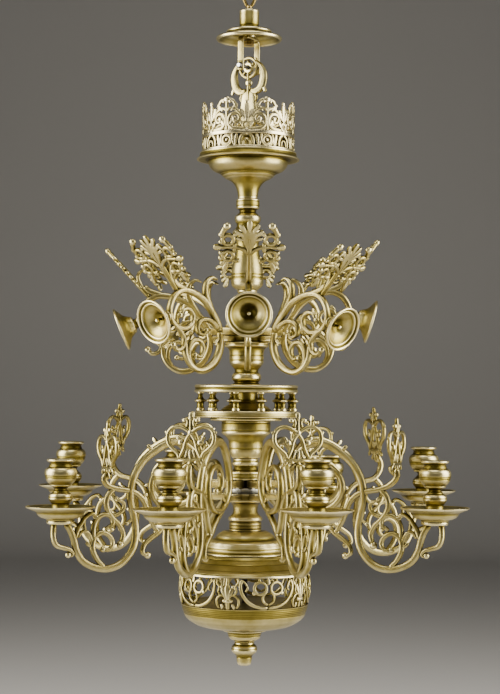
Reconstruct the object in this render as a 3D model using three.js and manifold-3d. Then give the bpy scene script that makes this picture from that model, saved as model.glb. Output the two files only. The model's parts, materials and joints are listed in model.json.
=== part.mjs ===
// An eight-armed brass chandelier in two tiers: candle arms below, horn arms above, on one iron rod.
// Millimetres, +Z up. The origin is where the ceiling hook bears in the hanging eye, above the stem.
import * as THREE from "three";
import { mergeVertices } from "three/addons/utils/BufferGeometryUtils.js";
import Module from "manifold-3d";

const wasm = await Module();
wasm.setup();

// Clearances
const seatGap = 0.2; // between turned pieces stacked on the rod
const looseGap = 0.35; // round a part that turns or slides in another

// How finely round things are cut
const stemSides = 12;
const wideSides = 16;
const globeSides = 20;
const smallSides = 8;
const simplifyTolerance = 0.25; // flattens slivers left where lines join

// Tiers: each arm's azimuth in degrees from the front towards +X, the degrees it is bent up about its lug's
// end, and how far its palmette is bent out and up. They differ because the arms were bent by hand.
const upperArms = [
  { azimuth: 1, lift: 4, palmetteShift: [0, 7] },
  { azimuth: 47, lift: -3.5, palmetteShift: [0, 0] },
  { azimuth: 91, lift: 4, palmetteShift: [0, 0] },
  { azimuth: 135, lift: 0, palmetteShift: [0, 0] },
  { azimuth: 180, lift: 4, palmetteShift: [0, 4] },
  { azimuth: 225, lift: 0, palmetteShift: [0, 0] },
  { azimuth: 270, lift: -2.5, palmetteShift: [0, 0] },
  { azimuth: 315, lift: 0, palmetteShift: [0, 0] },
];
const lowerArms = [
  { azimuth: 19, lift: 1, palmetteShift: [0, 0] },
  { azimuth: 67, lift: -0.5, palmetteShift: [14, -4] },
  { azimuth: 111, lift: 3, palmetteShift: [-6, 2] },
  { azimuth: 152, lift: -1.8, palmetteShift: [0, 0] },
  { azimuth: 203, lift: 0, palmetteShift: [0, 0] },
  { azimuth: 247, lift: 4, palmetteShift: [-2, 2] },
  { azimuth: 297, lift: -0.8, palmetteShift: [0, -12] },
  { azimuth: 340, lift: 0.8, palmetteShift: [0, 0] },
];
const upperArmAzimuths = upperArms.map(({ azimuth }) => azimuth);
const lowerArmAzimuths = lowerArms.map(({ azimuth }) => azimuth);

// Central rod
const rodRadius = 4;
const boreRadius = rodRadius + looseGap;
const stemWall = 4;

// Suspension
const eyeWire = 5; // diameter of the hanging eye's wire
const eyeInnerRadius = 10;
const eyeReach = 42.5; // from the hook's bearing point down to the canopy's socket
const socketRadius = 14.7;
const socketHeight = 28.6;
const canopyRadius = 49.5;
const canopyHeight = 18;
const canopyStepRadius = 33.5;
const canopyWall = 3.5;
const shackleSpacing = 46; // between the middles of the two straps
const strapWidth = 9;
const strapThickness = 4;
const shackleTurn = 58; // degrees between the bolt and +X
const boltRadius = 3;
const boltDrop = 129.75; // bolt below the hook's bearing point
const boltHeadRadius = 5;
const boltHeadLength = 4;
const shankNutRadius = 7;
const shankNutHeight = 8;

// Hanger: a pierced plate that swings on the bolt
const hangerThickness = 5;
const hangerRingRadius = 17;
const hangerRingWidth = 4.5;
const hangerBossRadius = 8;
const hangerShankWidth = 20;
const hangerLobeReach = 27; // to the middle of the crescents
const hangerLobeWidth = 8;
const hangerFootHeight = 14;

// Heights of the turned pieces, top to bottom
const boltToCrownSeat = 129;
const dishHeight = 69.6;
const vaseHeight = 136.5;
const upperCapHeight = 57.5;
const upperHubHeight = 78.3;
const galleryPlateHeight = 48.5;
const lowerCupHeight = 56;
const lowerCapHeight = 32;
const lowerHubHeight = 64.5;
const globeCapHeight = 34.5;
const globeHeight = 112;
const pendantCupHeight = 18.5;
const finialHeight = 34.4;
const lugHeight = 11; // the arms' upper lugs lie between a cap and its hub

// Crown
const crownBandRadius = 70.5;
const crownBandHeight = 75;
const crownBandWall = 2.5;
const crownRepeats = 7;
const crownRimRadius = 77.7;
const crownRimHeight = 11;

// Hubs
const upperHubRadius = 28.2;
const lowerHubRadius = 27.6;
const slotDepth = 7;
const tenonWidth = 8;
const tenonHeight = 8;

// Gallery
const galleryRadius = 77.7;
const railWidth = 11;
const railHeight = 10.8;
const balusterCount = 12;
const balusterHeight = 27.5;
const balusterRadius = 8.7;
const firstBaluster = 18; // degrees from +X
const galleryRimHeight = 8.8;

// Globe
const globeRadius = 98.7;
const globeWall = 4;
const globeBandTop = 27.5; // pierced band, below the globe's top
const globeBandBottom = 72.5;
const globeWindows = 10;

// Arms: flat ridged scrolls with a lug under the cap and a tenon in the hub's slot
const armDepth = 9;
const lugClearance = 0.6; // from a lug's corner to the middle line between it and its neighbour
const upperLugReach = 57;
const lowerLugReach = 70;
const lowerTenonOverhang = 10; // tenon past the lug's end

// Candle arms
const panCircleRadius = 295; // pan centres from the rod
const drawnPanCircle = 295; // the arm's lines are drawn for this circle and stretch to the one above
const panSeatDrop = 39; // pan's foot below the lower hub's top
const seatThickness = 5;
const panRadius = 50;
const panHeight = 20.5;
const panFootRadius = 20;
const panFootHeight = 2;
const panFloor = 7; // inside the pan, above its foot
const cupHeight = 80;
const cupLipRadius = 20.5;
const cupNeckRadius = 16.8;
const cupBulbRadius = 23;
const cupWaistRadius = 9;
const cupKnobRadius = 17.5;
const candleRadius = 11.2;
const candleDepth = 38;
const studRadius = 3.5;
const studGrip = 10; // stud inside the cup
const lowerPalmetteRadius = 222; // its plane from the rod, as drawn
const lowerPalmetteThickness = 6;

// Horn arms
const hornRadius = 33;
const hornLength = 31;
const hornNeckRadius = 6.5;
const hornDroop = 20; // degrees below level
const hornSeatRadius = 160; // horn's neck from the rod
const drawnHornSeat = 160; // the arm's lines are drawn for this seat and stretch to the one above
const hornSeatHeight = 24; // above the upper hub's top
const hornPinRadius = 2.5;
const hornPinGrip = 9;
const upperPalmetteLean = 40; // degrees outward from upright
const upperPalmetteThickness = 5;

const radians = THREE.MathUtils.degToRad;

// Lugs start far enough out for the closest neighbours to clear each other.
const gaps = (azimuths) => azimuths.map((azimuth, i) => (azimuths[i + 1] ?? azimuths[0] + 360) - azimuth);
const closestGap = Math.min(...gaps(upperArmAzimuths), ...gaps(lowerArmAzimuths));
const lugInnerRadius = (tenonWidth / 2 + lugClearance) / Math.tan(radians(closestGap / 2));

// Solids and geometries

function positionsOnly(geometry) {
  const bare = new THREE.BufferGeometry();
  const flat = geometry.index ? geometry.toNonIndexed() : geometry;
  bare.setAttribute("position", flat.getAttribute("position"));
  return mergeVertices(bare, 1e-3);
}

function solidOf(geometry) {
  const merged = positionsOnly(geometry);
  return new wasm.Manifold(
    new wasm.Mesh({
      numProp: 3,
      vertProperties: merged.attributes.position.array,
      triVerts: new Uint32Array(merged.index.array),
    }),
  );
}

function geometryOf(solid) {
  const mesh = solid.simplify(simplifyTolerance).getMesh();
  const geometry = new THREE.BufferGeometry();
  geometry.setAttribute("position", new THREE.BufferAttribute(mesh.vertProperties, 3));
  geometry.setIndex(new THREE.BufferAttribute(mesh.triVerts, 1));
  return geometry;
}

function joined(geometries) {
  return geometries.map(solidOf).reduce((whole, next) => whole.add(next));
}

// A closed profile of [radius, height] corners, anticlockwise with the rod at its left, turned about it.
function turned(profile, sides = stemSides) {
  const points = [...profile, profile[0]].map(([radius, height]) => new THREE.Vector2(radius, height));
  return new THREE.LatheGeometry(points, sides).rotateX(Math.PI / 2);
}

// A turned stem piece: its outside from top to bottom, bored for the rod and hollowed from below.
function stemPiece(outside, height, chamberTop = 6) {
  const narrowest = Math.min(...outside.map(([radius]) => radius));
  const chamberRadius = Math.max(boreRadius, narrowest - stemWall);
  const inside =
    chamberRadius > boreRadius + 1
      ? [[boreRadius, -chamberTop], [chamberRadius, -chamberTop - stemWall], [chamberRadius, -height]]
      : [[boreRadius, -height]];
  return turned([[boreRadius, 0], ...inside, ...outside.toReversed()]);
}

// A flat scroll in the XZ plane: a bar along a smooth line through its points, tapering from end to end.
function scroll(points, startWidth, endWidth, depth, steps = points.length - 1) {
  const stations = points.map(([x, z]) => new THREE.Vector3(x, 0, z));
  const line = new THREE.CatmullRomCurve3(stations, false, "centripetal");
  const corners = [];
  for (let i = 0; i <= steps; i += 1) {
    const share = i / steps;
    const at = line.getPoint(share);
    const along = line.getTangent(share);
    const half = THREE.MathUtils.lerp(startWidth, endWidth, share) / 2;
    const aside = new THREE.Vector3(-along.z, 0, along.x).multiplyScalar(half);
    const across = new THREE.Vector3(0, depth / 2, 0);
    corners.push(at.clone().add(aside).sub(across), at.clone().add(aside).add(across));
    corners.push(at.clone().sub(aside).add(across), at.clone().sub(aside).sub(across));
  }
  const faces = [];
  for (let i = 0; i < steps; i += 1) {
    for (let side = 0; side < 4; side += 1) {
      const a = 4 * i + side;
      const b = 4 * i + ((side + 1) % 4);
      faces.push(a, a + 4, b, b, a + 4, b + 4);
    }
  }
  const last = 4 * steps;
  faces.push(0, 1, 2, 0, 2, 3, last, last + 2, last + 1, last, last + 3, last + 2);
  const geometry = new THREE.BufferGeometry().setFromPoints(corners);
  geometry.setIndex(faces);
  return geometry;
}

// A flat plate in the XZ plane, centred on it, from an outline and its holes.
function plate(outline, holes, thickness) {
  const corners = outline.map(([x, z]) => new THREE.Vector2(x, z));
  const shape = new THREE.Shape(THREE.ShapeUtils.isClockWise(corners) ? corners.toReversed() : corners);
  shape.holes = holes.map((hole) => new THREE.Path(hole.map(([x, z]) => new THREE.Vector2(x, z))));
  const geometry = new THREE.ExtrudeGeometry(shape, { depth: thickness, bevelEnabled: false });
  return geometry.translate(0, 0, -thickness / 2).rotateX(Math.PI / 2);
}

function ring(x, z, radius, sides) {
  return Array.from({ length: sides }, (_, i) => {
    const angle = (2 * Math.PI * i) / sides;
    return [x + radius * Math.cos(angle), z + radius * Math.sin(angle)];
  });
}

function block(sizeX, sizeY, sizeZ, x, y, z) {
  return new THREE.BoxGeometry(sizeX, sizeY, sizeZ).translate(x, y, z);
}

function post(radius, length, x, y, bottom, sides = smallSides) {
  const geometry = new THREE.CylinderGeometry(radius, radius, length, sides);
  return geometry.rotateX(Math.PI / 2).translate(x, y, bottom + length / 2);
}

const mirrored = (points) => points.map(([x, z]) => [-x, z]);

// Materials

const brass = new THREE.MeshStandardMaterial({ color: 0xb39a54, roughness: 0.32, metalness: 1 });
const darkBrass = new THREE.MeshStandardMaterial({ color: 0x7d6b3c, roughness: 0.42, metalness: 1 });
const iron = new THREE.MeshStandardMaterial({ color: 0x5a554c, roughness: 0.55, metalness: 1 });

const chandelier = new THREE.Group();

function addMesh(name, geometry, material, parent) {
  const mesh = new THREE.Mesh(geometry, material);
  mesh.name = name;
  parent.add(mesh);
  return mesh;
}

// Suspension

const canopyTop = -eyeReach - socketHeight;
const canopyUnderside = canopyTop - canopyWall;
const bridgeTop = canopyTop - canopyHeight + 5;
const bridgeUnderside = bridgeTop - strapThickness;

// The wire eye: a closed loop whose shank drops through the socket, the canopy and the shackle's bridge.
function hangingEye() {
  const middle = eyeWire / 2 + eyeInnerRadius;
  const loopCentre = -eyeInnerRadius;
  const neck = -eyeReach + eyeWire;
  const loop = new THREE.CatmullRomCurve3(
    [
      [0, loopCentre + middle],
      [middle * 0.75, loopCentre + middle * 0.68],
      [middle, loopCentre],
      [middle * 0.72, (loopCentre + neck) / 2],
      [eyeWire * 0.35, neck],
      [-eyeWire * 0.35, neck],
      [-middle * 0.72, (loopCentre + neck) / 2],
      [-middle, loopCentre],
      [-middle * 0.75, loopCentre + middle * 0.68],
    ].map(([x, z]) => new THREE.Vector3(x, 0, z)),
    true,
  );
  const section = new THREE.Shape(ring(0, 0, eyeWire / 2, 6).map(([x, y]) => new THREE.Vector2(x, y)));
  const wire = closedSweep(loop, section, 16);
  const shankBottom = bridgeUnderside - shankNutHeight - seatGap;
  const shank = post(rodRadius, neck - shankBottom, 0, 0, shankBottom);
  const nut = post(shankNutRadius, shankNutHeight, 0, 0, shankBottom, 6);
  return geometryOf(joined([wire, shank, nut]));
}

// A section carried once round a closed flat line in the XZ plane.
function closedSweep(line, section, steps) {
  const outline = section.getPoints();
  const count = outline.length;
  const corners = [];
  for (let i = 0; i < steps; i += 1) {
    const at = line.getPointAt(i / steps);
    const along = line.getTangentAt(i / steps);
    const aside = new THREE.Vector3(-along.z, 0, along.x);
    for (const { x, y } of outline) {
      corners.push(at.clone().addScaledVector(aside, x).add(new THREE.Vector3(0, y, 0)));
    }
  }
  const faces = [];
  for (let i = 0; i < steps; i += 1) {
    for (let side = 0; side < count; side += 1) {
      const a = count * i + side;
      const b = count * i + ((side + 1) % count);
      const c = count * ((i + 1) % steps) + side;
      const d = count * ((i + 1) % steps) + ((side + 1) % count);
      faces.push(a, c, b, b, c, d);
    }
  }
  const geometry = new THREE.BufferGeometry().setFromPoints(corners);
  geometry.setIndex(faces);
  return geometry;
}

function canopy() {
  const rim = canopyTop - canopyHeight;
  return turned(
    [
      [boreRadius, -eyeReach],
      [boreRadius, bridgeTop + seatGap],
      [boreRadius + 5, bridgeTop + seatGap],
      [boreRadius + 6, canopyUnderside],
      [canopyStepRadius - 4, canopyUnderside],
      [canopyRadius - 7, rim + 4],
      [canopyRadius - 3, rim],
      [canopyRadius, rim + 2],
      [canopyStepRadius + 4, canopyTop - 8],
      [canopyStepRadius, canopyTop - 2],
      [canopyStepRadius - 8, canopyTop],
      [socketRadius, canopyTop],
      [socketRadius, -eyeReach],
    ],
    16,
  );
}

// The shackle: two straps down from a bridge, bored for the shank and for the bolt.
function shackle() {
  const strapBottom = -boltDrop - boltRadius - 4;
  const strapLength = bridgeTop - strapBottom;
  const half = shackleSpacing / 2;
  const straps = [-half, half].map((x) =>
    block(strapThickness, strapWidth, strapLength, x, 0, bridgeTop - strapLength / 2),
  );
  const bridgeLength = shackleSpacing + strapThickness;
  const bridge = block(bridgeLength, strapWidth + 7, strapThickness, 0, 0, bridgeTop - strapThickness / 2);
  const holeBottom = bridgeTop - 2 * strapThickness;
  const shankHole = solidOf(post(boreRadius, 3 * strapThickness, 0, 0, holeBottom, stemSides));
  const boltHoleRadius = boltRadius + looseGap;
  const boltHole = new THREE.CylinderGeometry(boltHoleRadius, boltHoleRadius, 3 * half, smallSides);
  boltHole.rotateZ(Math.PI / 2).translate(0, 0, -boltDrop);
  return geometryOf(joined([bridge, ...straps]).subtract(shankHole).subtract(solidOf(boltHole)));
}

// The bolt, with a round head outside the front strap and a nut outside the back one.
function shackleBolt() {
  const outer = shackleSpacing / 2 + strapThickness / 2 + looseGap;
  const shankLength = 2 * outer + 2 * boltHeadLength + 2;
  const endPiece = (sides, side) => {
    const geometry = new THREE.CylinderGeometry(boltHeadRadius, boltHeadRadius, boltHeadLength, sides);
    return geometry.translate(0, side * (outer + boltHeadLength / 2), 0);
  };
  const shank = new THREE.CylinderGeometry(boltRadius, boltRadius, shankLength, smallSides);
  const pieces = [shank, endPiece(8, 1), endPiece(6, -1)];
  return geometryOf(joined(pieces.map((piece) => piece.rotateZ(Math.PI / 2).translate(0, 0, -boltDrop))));
}

addMesh("hanging_eye", hangingEye(), darkBrass, chandelier);
addMesh("canopy", canopy(), brass, chandelier);
addMesh("shackle", shackle(), brass, chandelier).rotation.z = radians(shackleTurn);
addMesh("shackle_bolt", shackleBolt(), iron, chandelier).rotation.z = radians(shackleTurn);

// Heights down the stem

const crownSeat = -boltDrop - boltToCrownSeat;
const vaseTop = crownSeat - dishHeight - seatGap;
const upperCapTop = vaseTop - vaseHeight - seatGap;
const upperHubTop = upperCapTop - upperCapHeight - lugHeight - 2 * seatGap;
const galleryPlateTop = upperHubTop - upperHubHeight - seatGap;
const lowerCupTop = galleryPlateTop - galleryPlateHeight - seatGap;
const lowerCapTop = lowerCupTop - lowerCupHeight - seatGap;
const lowerHubTop = lowerCapTop - lowerCapHeight - lugHeight - 2 * seatGap;
const globeCapTop = lowerHubTop - lowerHubHeight - seatGap;
const globeTop = globeCapTop - globeCapHeight - seatGap;
const pendantCupTop = globeTop - globeHeight - seatGap;
const finialTop = pendantCupTop - pendantCupHeight - seatGap;
const dishFloor = crownSeat - 24;
const rodGrip = 10; // rod inside the hanger's foot
const rodTop = dishFloor + rodGrip;
const finialBoreDepth = 16;

// The hanger: a ring with a bored boss, two crescents and a shank on a square foot that takes the rod.
function hanger() {
  const bottom = dishFloor + seatGap + boltDrop;
  const half = hangerShankWidth / 2;
  const shankOutline = [[-half, bottom], [half, bottom], [half * 1.2, -36], [-half * 1.2, -36]];
  const shank = plate(shankOutline, [], hangerThickness);
  const footMiddle = bottom + hangerFootHeight / 2;
  const foot = block(hangerShankWidth, hangerShankWidth, hangerFootHeight, 0, 0, footMiddle);
  const reach = hangerLobeReach;
  const crescent = [[3, -37], [14, -35], [reach - 4, -26], [reach, -12], [reach - 6, 3], [12, 11]];
  const crescents = [crescent, mirrored(crescent)].map((points) =>
    scroll(points, hangerLobeWidth, 5, hangerThickness + 1, 6),
  );
  const eye = plate(
    ring(0, 0, hangerRingRadius, 10),
    [ring(0, 0, hangerRingRadius - hangerRingWidth, 8)],
    hangerThickness,
  );
  const web = block(6, hangerThickness, 2 * hangerRingRadius + 20, 0, 0, -10);
  const bossLength = hangerThickness + 1.5;
  const boss = new THREE.CylinderGeometry(hangerBossRadius, hangerBossRadius, bossLength, smallSides);
  const boltBoreRadius = boltRadius + 2 * looseGap;
  const boltBore = new THREE.CylinderGeometry(boltBoreRadius, boltBoreRadius, 4 * bossLength, smallSides);
  const rodBore = post(boreRadius, rodGrip + 1, 0, 0, bottom - 0.5, stemSides);
  const whole = joined([shank, foot, ...crescents, eye, web, boss]);
  return geometryOf(whole.subtract(solidOf(boltBore)).subtract(solidOf(rodBore)));
}

const hangerMesh = addMesh("hanger", hanger(), brass, chandelier);
hangerMesh.position.z = -boltDrop;
hangerMesh.rotation.z = radians(shackleTurn - 90);

// Crown: a pierced band standing on a dish with a flared rim

function crownBand() {
  const inner = crownBandRadius - crownBandWall;
  const sides = 3 * crownRepeats; // a whole number round each repeat
  const bottomEdge = [[inner, 0], [crownBandRadius, 0]];
  const topEdge = [[crownBandRadius, crownBandHeight], [inner, crownBandHeight]];
  const band = solidOf(turned([...bottomEdge, ...topEdge], sides));
  const cutters = [];
  const pitch = (2 * Math.PI) / crownRepeats;
  for (let i = 0; i < crownRepeats; i += 1) {
    const windows = [
      [0, 12, 30, 12], // lower register: turn in degrees, height, width, tall
      [12.9, 44.5, 17, 36], // upper register
      [38.6, 44.5, 17, 36],
    ];
    for (const [turn, height, width, tall] of windows) {
      const window = new THREE.BoxGeometry(20, width, tall).translate(crownBandRadius, 0, height);
      cutters.push(window.rotateZ(pitch * i + radians(turn)));
    }
    for (const turn of [12.9, 38.6]) {
      const notch = new THREE.CylinderGeometry(7, 7, 20, 4).rotateZ(Math.PI / 2);
      notch.translate(crownBandRadius, 0, crownBandHeight + 2);
      cutters.push(notch.rotateZ(pitch * i + radians(turn)));
    }
  }
  return geometryOf(cutters.map(solidOf).reduce((whole, cutter) => whole.subtract(cutter), band));
}

function crownDish() {
  const rim = -crownRimHeight;
  return turned(
    [
      [boreRadius, dishFloor - crownSeat],
      [boreRadius, -dishHeight],
      [14.5, -dishHeight],
      [15, -56],
      [28, -41],
      [41, -33],
      [58, -22],
      [60, -12],
      [crownRimRadius - 3, rim],
      [crownRimRadius, rim + 1],
      [crownBandRadius + 2, 0],
      [crownBandRadius - 6, 0],
      [55, -9],
      [44, dishFloor - crownSeat],
    ],
    wideSides,
  );
}

addMesh("crown_band", crownBand(), brass, chandelier).position.z = crownSeat + seatGap;
addMesh("crown_dish", crownDish(), brass, chandelier).position.z = crownSeat;

// Upper stem

function upperVase() {
  const outside = [
    [17.7, 0],
    [17.7, -14],
    [12.5, -18.7],
    [19.8, -29.7],
    [16.5, -39],
    [22.5, -48.5],
    [19.5, -57],
    [17, -72],
    [23.5, -105],
    [23.9, -122],
    [16, -vaseHeight],
  ];
  return stemPiece(outside, vaseHeight);
}

function upperCap() {
  const outside = [
    [15, 0],
    [12.8, -14],
    [14, -32],
    [20, -46],
    [31, -53],
    [33, -upperCapHeight],
  ];
  return stemPiece(outside, upperCapHeight);
}

// Slots round a hub's rim take the arms' lower tenons.
function slotted(piece, azimuths, hubRadius, slotTop) {
  const slots = azimuths.map((azimuth) => {
    const width = tenonWidth + 2 * looseGap;
    const height = tenonHeight + 2 * looseGap;
    const slot = block(2 * slotDepth, width, height, hubRadius, 0, slotTop - tenonHeight / 2);
    return solidOf(slot.rotateZ(radians(azimuth - 90)));
  });
  return geometryOf(slots.reduce((whole, slot) => whole.subtract(slot), solidOf(piece)));
}

const upperTenonTop = -1;
const lowerTenonTop = -9.5;

function upperHub() {
  const outside = [
    [upperHubRadius, 0],
    [upperHubRadius, -9.5],
    [33, -10.8],
    [33, -16.5],
    [25.5, -25],
    [25, -40],
    [17.6, -51],
    [17.7, -55],
    [22.2, -62.7],
    [18, -69],
    [24, -74],
    [24, -upperHubHeight],
  ];
  return slotted(stemPiece(outside, upperHubHeight, 14), upperArmAzimuths, upperHubRadius, upperTenonTop);
}

addMesh("upper_vase", upperVase(), brass, chandelier).position.z = vaseTop;
addMesh("upper_cap", upperCap(), brass, chandelier).position.z = upperCapTop;
addMesh("upper_hub", upperHub(), brass, chandelier).position.z = upperHubTop;

// Gallery: a plate with a raised boss, and a rail carried on turned balusters

const galleryDeck = -34; // the deck's top below the plate's own top

function galleryPlate() {
  const underside = galleryDeck - 8;
  return turned(
    [
      [boreRadius, 0],
      [boreRadius, -galleryPlateHeight],
      [53.5, -galleryPlateHeight],
      [53.5, underside - 1],
      [galleryRadius - 7, underside],
      [galleryRadius - 7, galleryDeck - galleryRimHeight - 1],
      [galleryRadius - 1, galleryDeck - galleryRimHeight - 1],
      [galleryRadius - 1, galleryDeck],
      [38, galleryDeck],
      [24, galleryDeck + 10],
      [14, galleryDeck + 11],
      [14, -4],
      [24, -3],
      [24, 0],
    ],
    wideSides,
  );
}

function galleryRail() {
  const inner = galleryRadius - railWidth;
  const railCorners = [[inner, 0], [galleryRadius, 0], [galleryRadius, railHeight], [inner, railHeight]];
  const rail = turned(railCorners, wideSides);
  const baluster = [
    [0, -balusterHeight],
    [4.6, -balusterHeight],
    [3.8, -0.45 * balusterHeight],
    [balusterRadius, -0.36 * balusterHeight],
    [3.4, 1],
    [0, 1],
  ];
  const places = Array.from({ length: balusterCount }, (_, i) => radians(firstBaluster + (360 / balusterCount) * i));
  const balusters = places.map((angle) => {
    const points = baluster.map(([radius, height]) => new THREE.Vector2(radius, height));
    const turnedOne = new THREE.LatheGeometry(points, 5).rotateX(Math.PI / 2);
    return turnedOne.translate(galleryRadius - railWidth / 2 - 1, 0, 0).rotateZ(angle);
  });
  return geometryOf(joined([rail, ...balusters]));
}

addMesh("gallery_plate", galleryPlate(), brass, chandelier).position.z = galleryPlateTop;
addMesh("gallery_rail", galleryRail(), brass, chandelier).position.z =
  galleryPlateTop + galleryDeck + balusterHeight + seatGap;

// Lower stem

function lowerCup() {
  const outside = [
    [36.8, 0],
    [36.5, -18],
    [35.5, -20],
    [26, -30],
    [25.5, -45],
    [20, -lowerCupHeight],
  ];
  return stemPiece(outside, lowerCupHeight);
}

function lowerCap() {
  const outside = [
    [18.8, 0],
    [20.4, -7.5],
    [18, -13],
    [19, -17],
    [25.8, -20],
    [25.8, -lowerCapHeight],
  ];
  return stemPiece(outside, lowerCapHeight, 3);
}

function lowerHub() {
  const outside = [
    [24.5, 0],
    [24.5, -7.5],
    [lowerHubRadius, -8.6],
    [lowerHubRadius, -21],
    [19.2, -28],
    [18, -35],
    [25.5, -47],
    [24, -52],
    [24, -lowerHubHeight],
  ];
  return slotted(stemPiece(outside, lowerHubHeight, 14), lowerArmAzimuths, lowerHubRadius, lowerTenonTop);
}

addMesh("lower_cup", lowerCup(), brass, chandelier).position.z = lowerCupTop;
addMesh("lower_cap", lowerCap(), brass, chandelier).position.z = lowerCapTop;
addMesh("lower_hub", lowerHub(), darkBrass, chandelier).position.z = lowerHubTop;

// Globe: a stepped cap on a hollow body with a pierced band

function globeCap() {
  const wall = globeWall;
  return turned(
    [
      [boreRadius, 0],
      [boreRadius, -wall],
      [40 - wall, -10 - wall],
      [59.3 - wall, -20],
      [59.3 - wall, -globeCapHeight],
      [59.3, -globeCapHeight],
      [59.3, -18],
      [50, -13],
      [43.5, -9],
      [33, 0],
    ],
    wideSides,
  );
}

function globe() {
  const wall = globeWall;
  const outside = [
    [59.5, 0],
    [75, -13],
    [92, -21.5],
    [96, -globeBandTop],
    [globeRadius, -0.5 * (globeBandTop + globeBandBottom)],
    [95, -globeBandBottom],
    [90, -89.5],
    [71, -104.5],
    [33, -globeHeight],
  ];
  const inside = [
    [59.5 - wall, 0],
    [92 - wall, -21.5 - wall / 2],
    [globeRadius - wall, -0.5 * (globeBandTop + globeBandBottom)],
    [90 - wall, -89.5 + wall / 2],
    [boreRadius, -globeHeight + wall],
    [boreRadius, -globeHeight],
  ];
  const shell = solidOf(turned([...inside, ...outside.toReversed()], globeSides));
  const middle = -0.5 * (globeBandTop + globeBandBottom);
  const tall = globeBandBottom - globeBandTop - 8;
  const pitch = 360 / globeWindows;
  const windows = Array.from({ length: globeWindows }, (_, i) => {
    const width = ((2 * Math.PI * globeRadius) / globeWindows) * 0.72;
    const window = block(30, width, tall, globeRadius, 0, middle);
    return solidOf(window.rotateZ(radians(pitch * i)));
  });
  return geometryOf(windows.reduce((whole, window) => whole.subtract(window), shell));
}

function pendantCup() {
  return turned([
    [boreRadius, 0],
    [boreRadius, -pendantCupHeight],
    [15, -pendantCupHeight],
    [21, -14],
    [25.5, -5],
    [33, -1.8],
    [33, 0],
  ]);
}

function finial() {
  return turned([
    [0, -finialHeight],
    [7.5, -finialHeight],
    [10.5, -30],
    [12, -21],
    [19.5, -10.5],
    [15, -3],
    [15, 0],
    [boreRadius, 0],
    [boreRadius, -finialBoreDepth],
    [0, -finialBoreDepth],
  ]);
}

addMesh("globe_cap", globeCap(), brass, chandelier).position.z = globeCapTop;
addMesh("globe", globe(), brass, chandelier).position.z = globeTop;
addMesh("pendant_cup", pendantCup(), brass, chandelier).position.z = pendantCupTop;
addMesh("finial", finial(), brass, chandelier).position.z = finialTop;

const rodBottom = finialTop - finialBoreDepth + seatGap;
const rod = post(rodRadius, rodTop - rodBottom, 0, 0, 0, stemSides);
addMesh("central_rod", rod, iron, chandelier).position.z = rodBottom;

// A bar that runs out from the rod and fits between a cap and its hub, or in a hub's slot.
function armBar(inner, outer, bottom, height) {
  return block(outer - inner, tenonWidth, height, (inner + outer) / 2, 0, bottom + height / 2);
}

const slotFloor = (hubRadius) => hubRadius - slotDepth + looseGap;

// Moves drawn points so that what lies past the lug's end stretches to the wanted reach. What is nearer the
// seat than its radius, or past it, moves with the seat.
const stretched = (points, lugReach, drawn, wanted, seatRadius = 0) => {
  const inner = drawn - seatRadius;
  const share = (wanted - seatRadius - lugReach) / (inner - lugReach);
  const moved = (x) => (x > inner ? x + wanted - drawn : lugReach + (x - lugReach) * share);
  return points.map(([x, z]) => [moved(x), z]);
};

// Bends a geometry, or a point, up about the lug's end.
const lifted = (geometry, lugReach, lift) =>
  geometry.translate(-lugReach, 0, 0).rotateY(-radians(lift)).translate(lugReach, 0, 0);
const liftedPoint = ([x, z], lugReach, lift) => {
  const [c, s] = [Math.cos(radians(lift)), Math.sin(radians(lift))];
  return [lugReach + (x - lugReach) * c - z * s, (x - lugReach) * s + z * c];
};

// Shifts a stem's first points with its palmette: the first all the way, the next two less and less.
const shiftedStart = (points, [out, up]) =>
  points.map(([x, z], i) => {
    const share = Math.max(0, 1 - i / 3);
    return [x + out * share, z + up * share];
  });

// The lower palmette, across the arm: a pierced plate with a trefoil on top and a collar below.
function lowerPalmette(reach, up) {
  const side = [[6, 104], [8, 98], [26, 93], [36, 80], [33, 65], [22, 52], [23, 42], [6, 40], [6, 30]];
  const eye = [[11, 92], [28, 84], [28, 68], [18, 72], [21, 80], [12, 80]];
  const slot = [[5, 49], [17, 53], [10, 64]];
  const lozenge = [[0, 66], [5, 76], [0, 86], [-5, 76]];
  const outline = [[0, 112], ...side, ...mirrored(side).toReversed()];
  const holes = [eye, mirrored(eye), slot, mirrored(slot), lozenge];
  return plate(outline, holes, lowerPalmetteThickness).rotateZ(Math.PI / 2).translate(reach, 0, up);
}

const panSeat = [panCircleRadius, -panSeatDrop];

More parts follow.
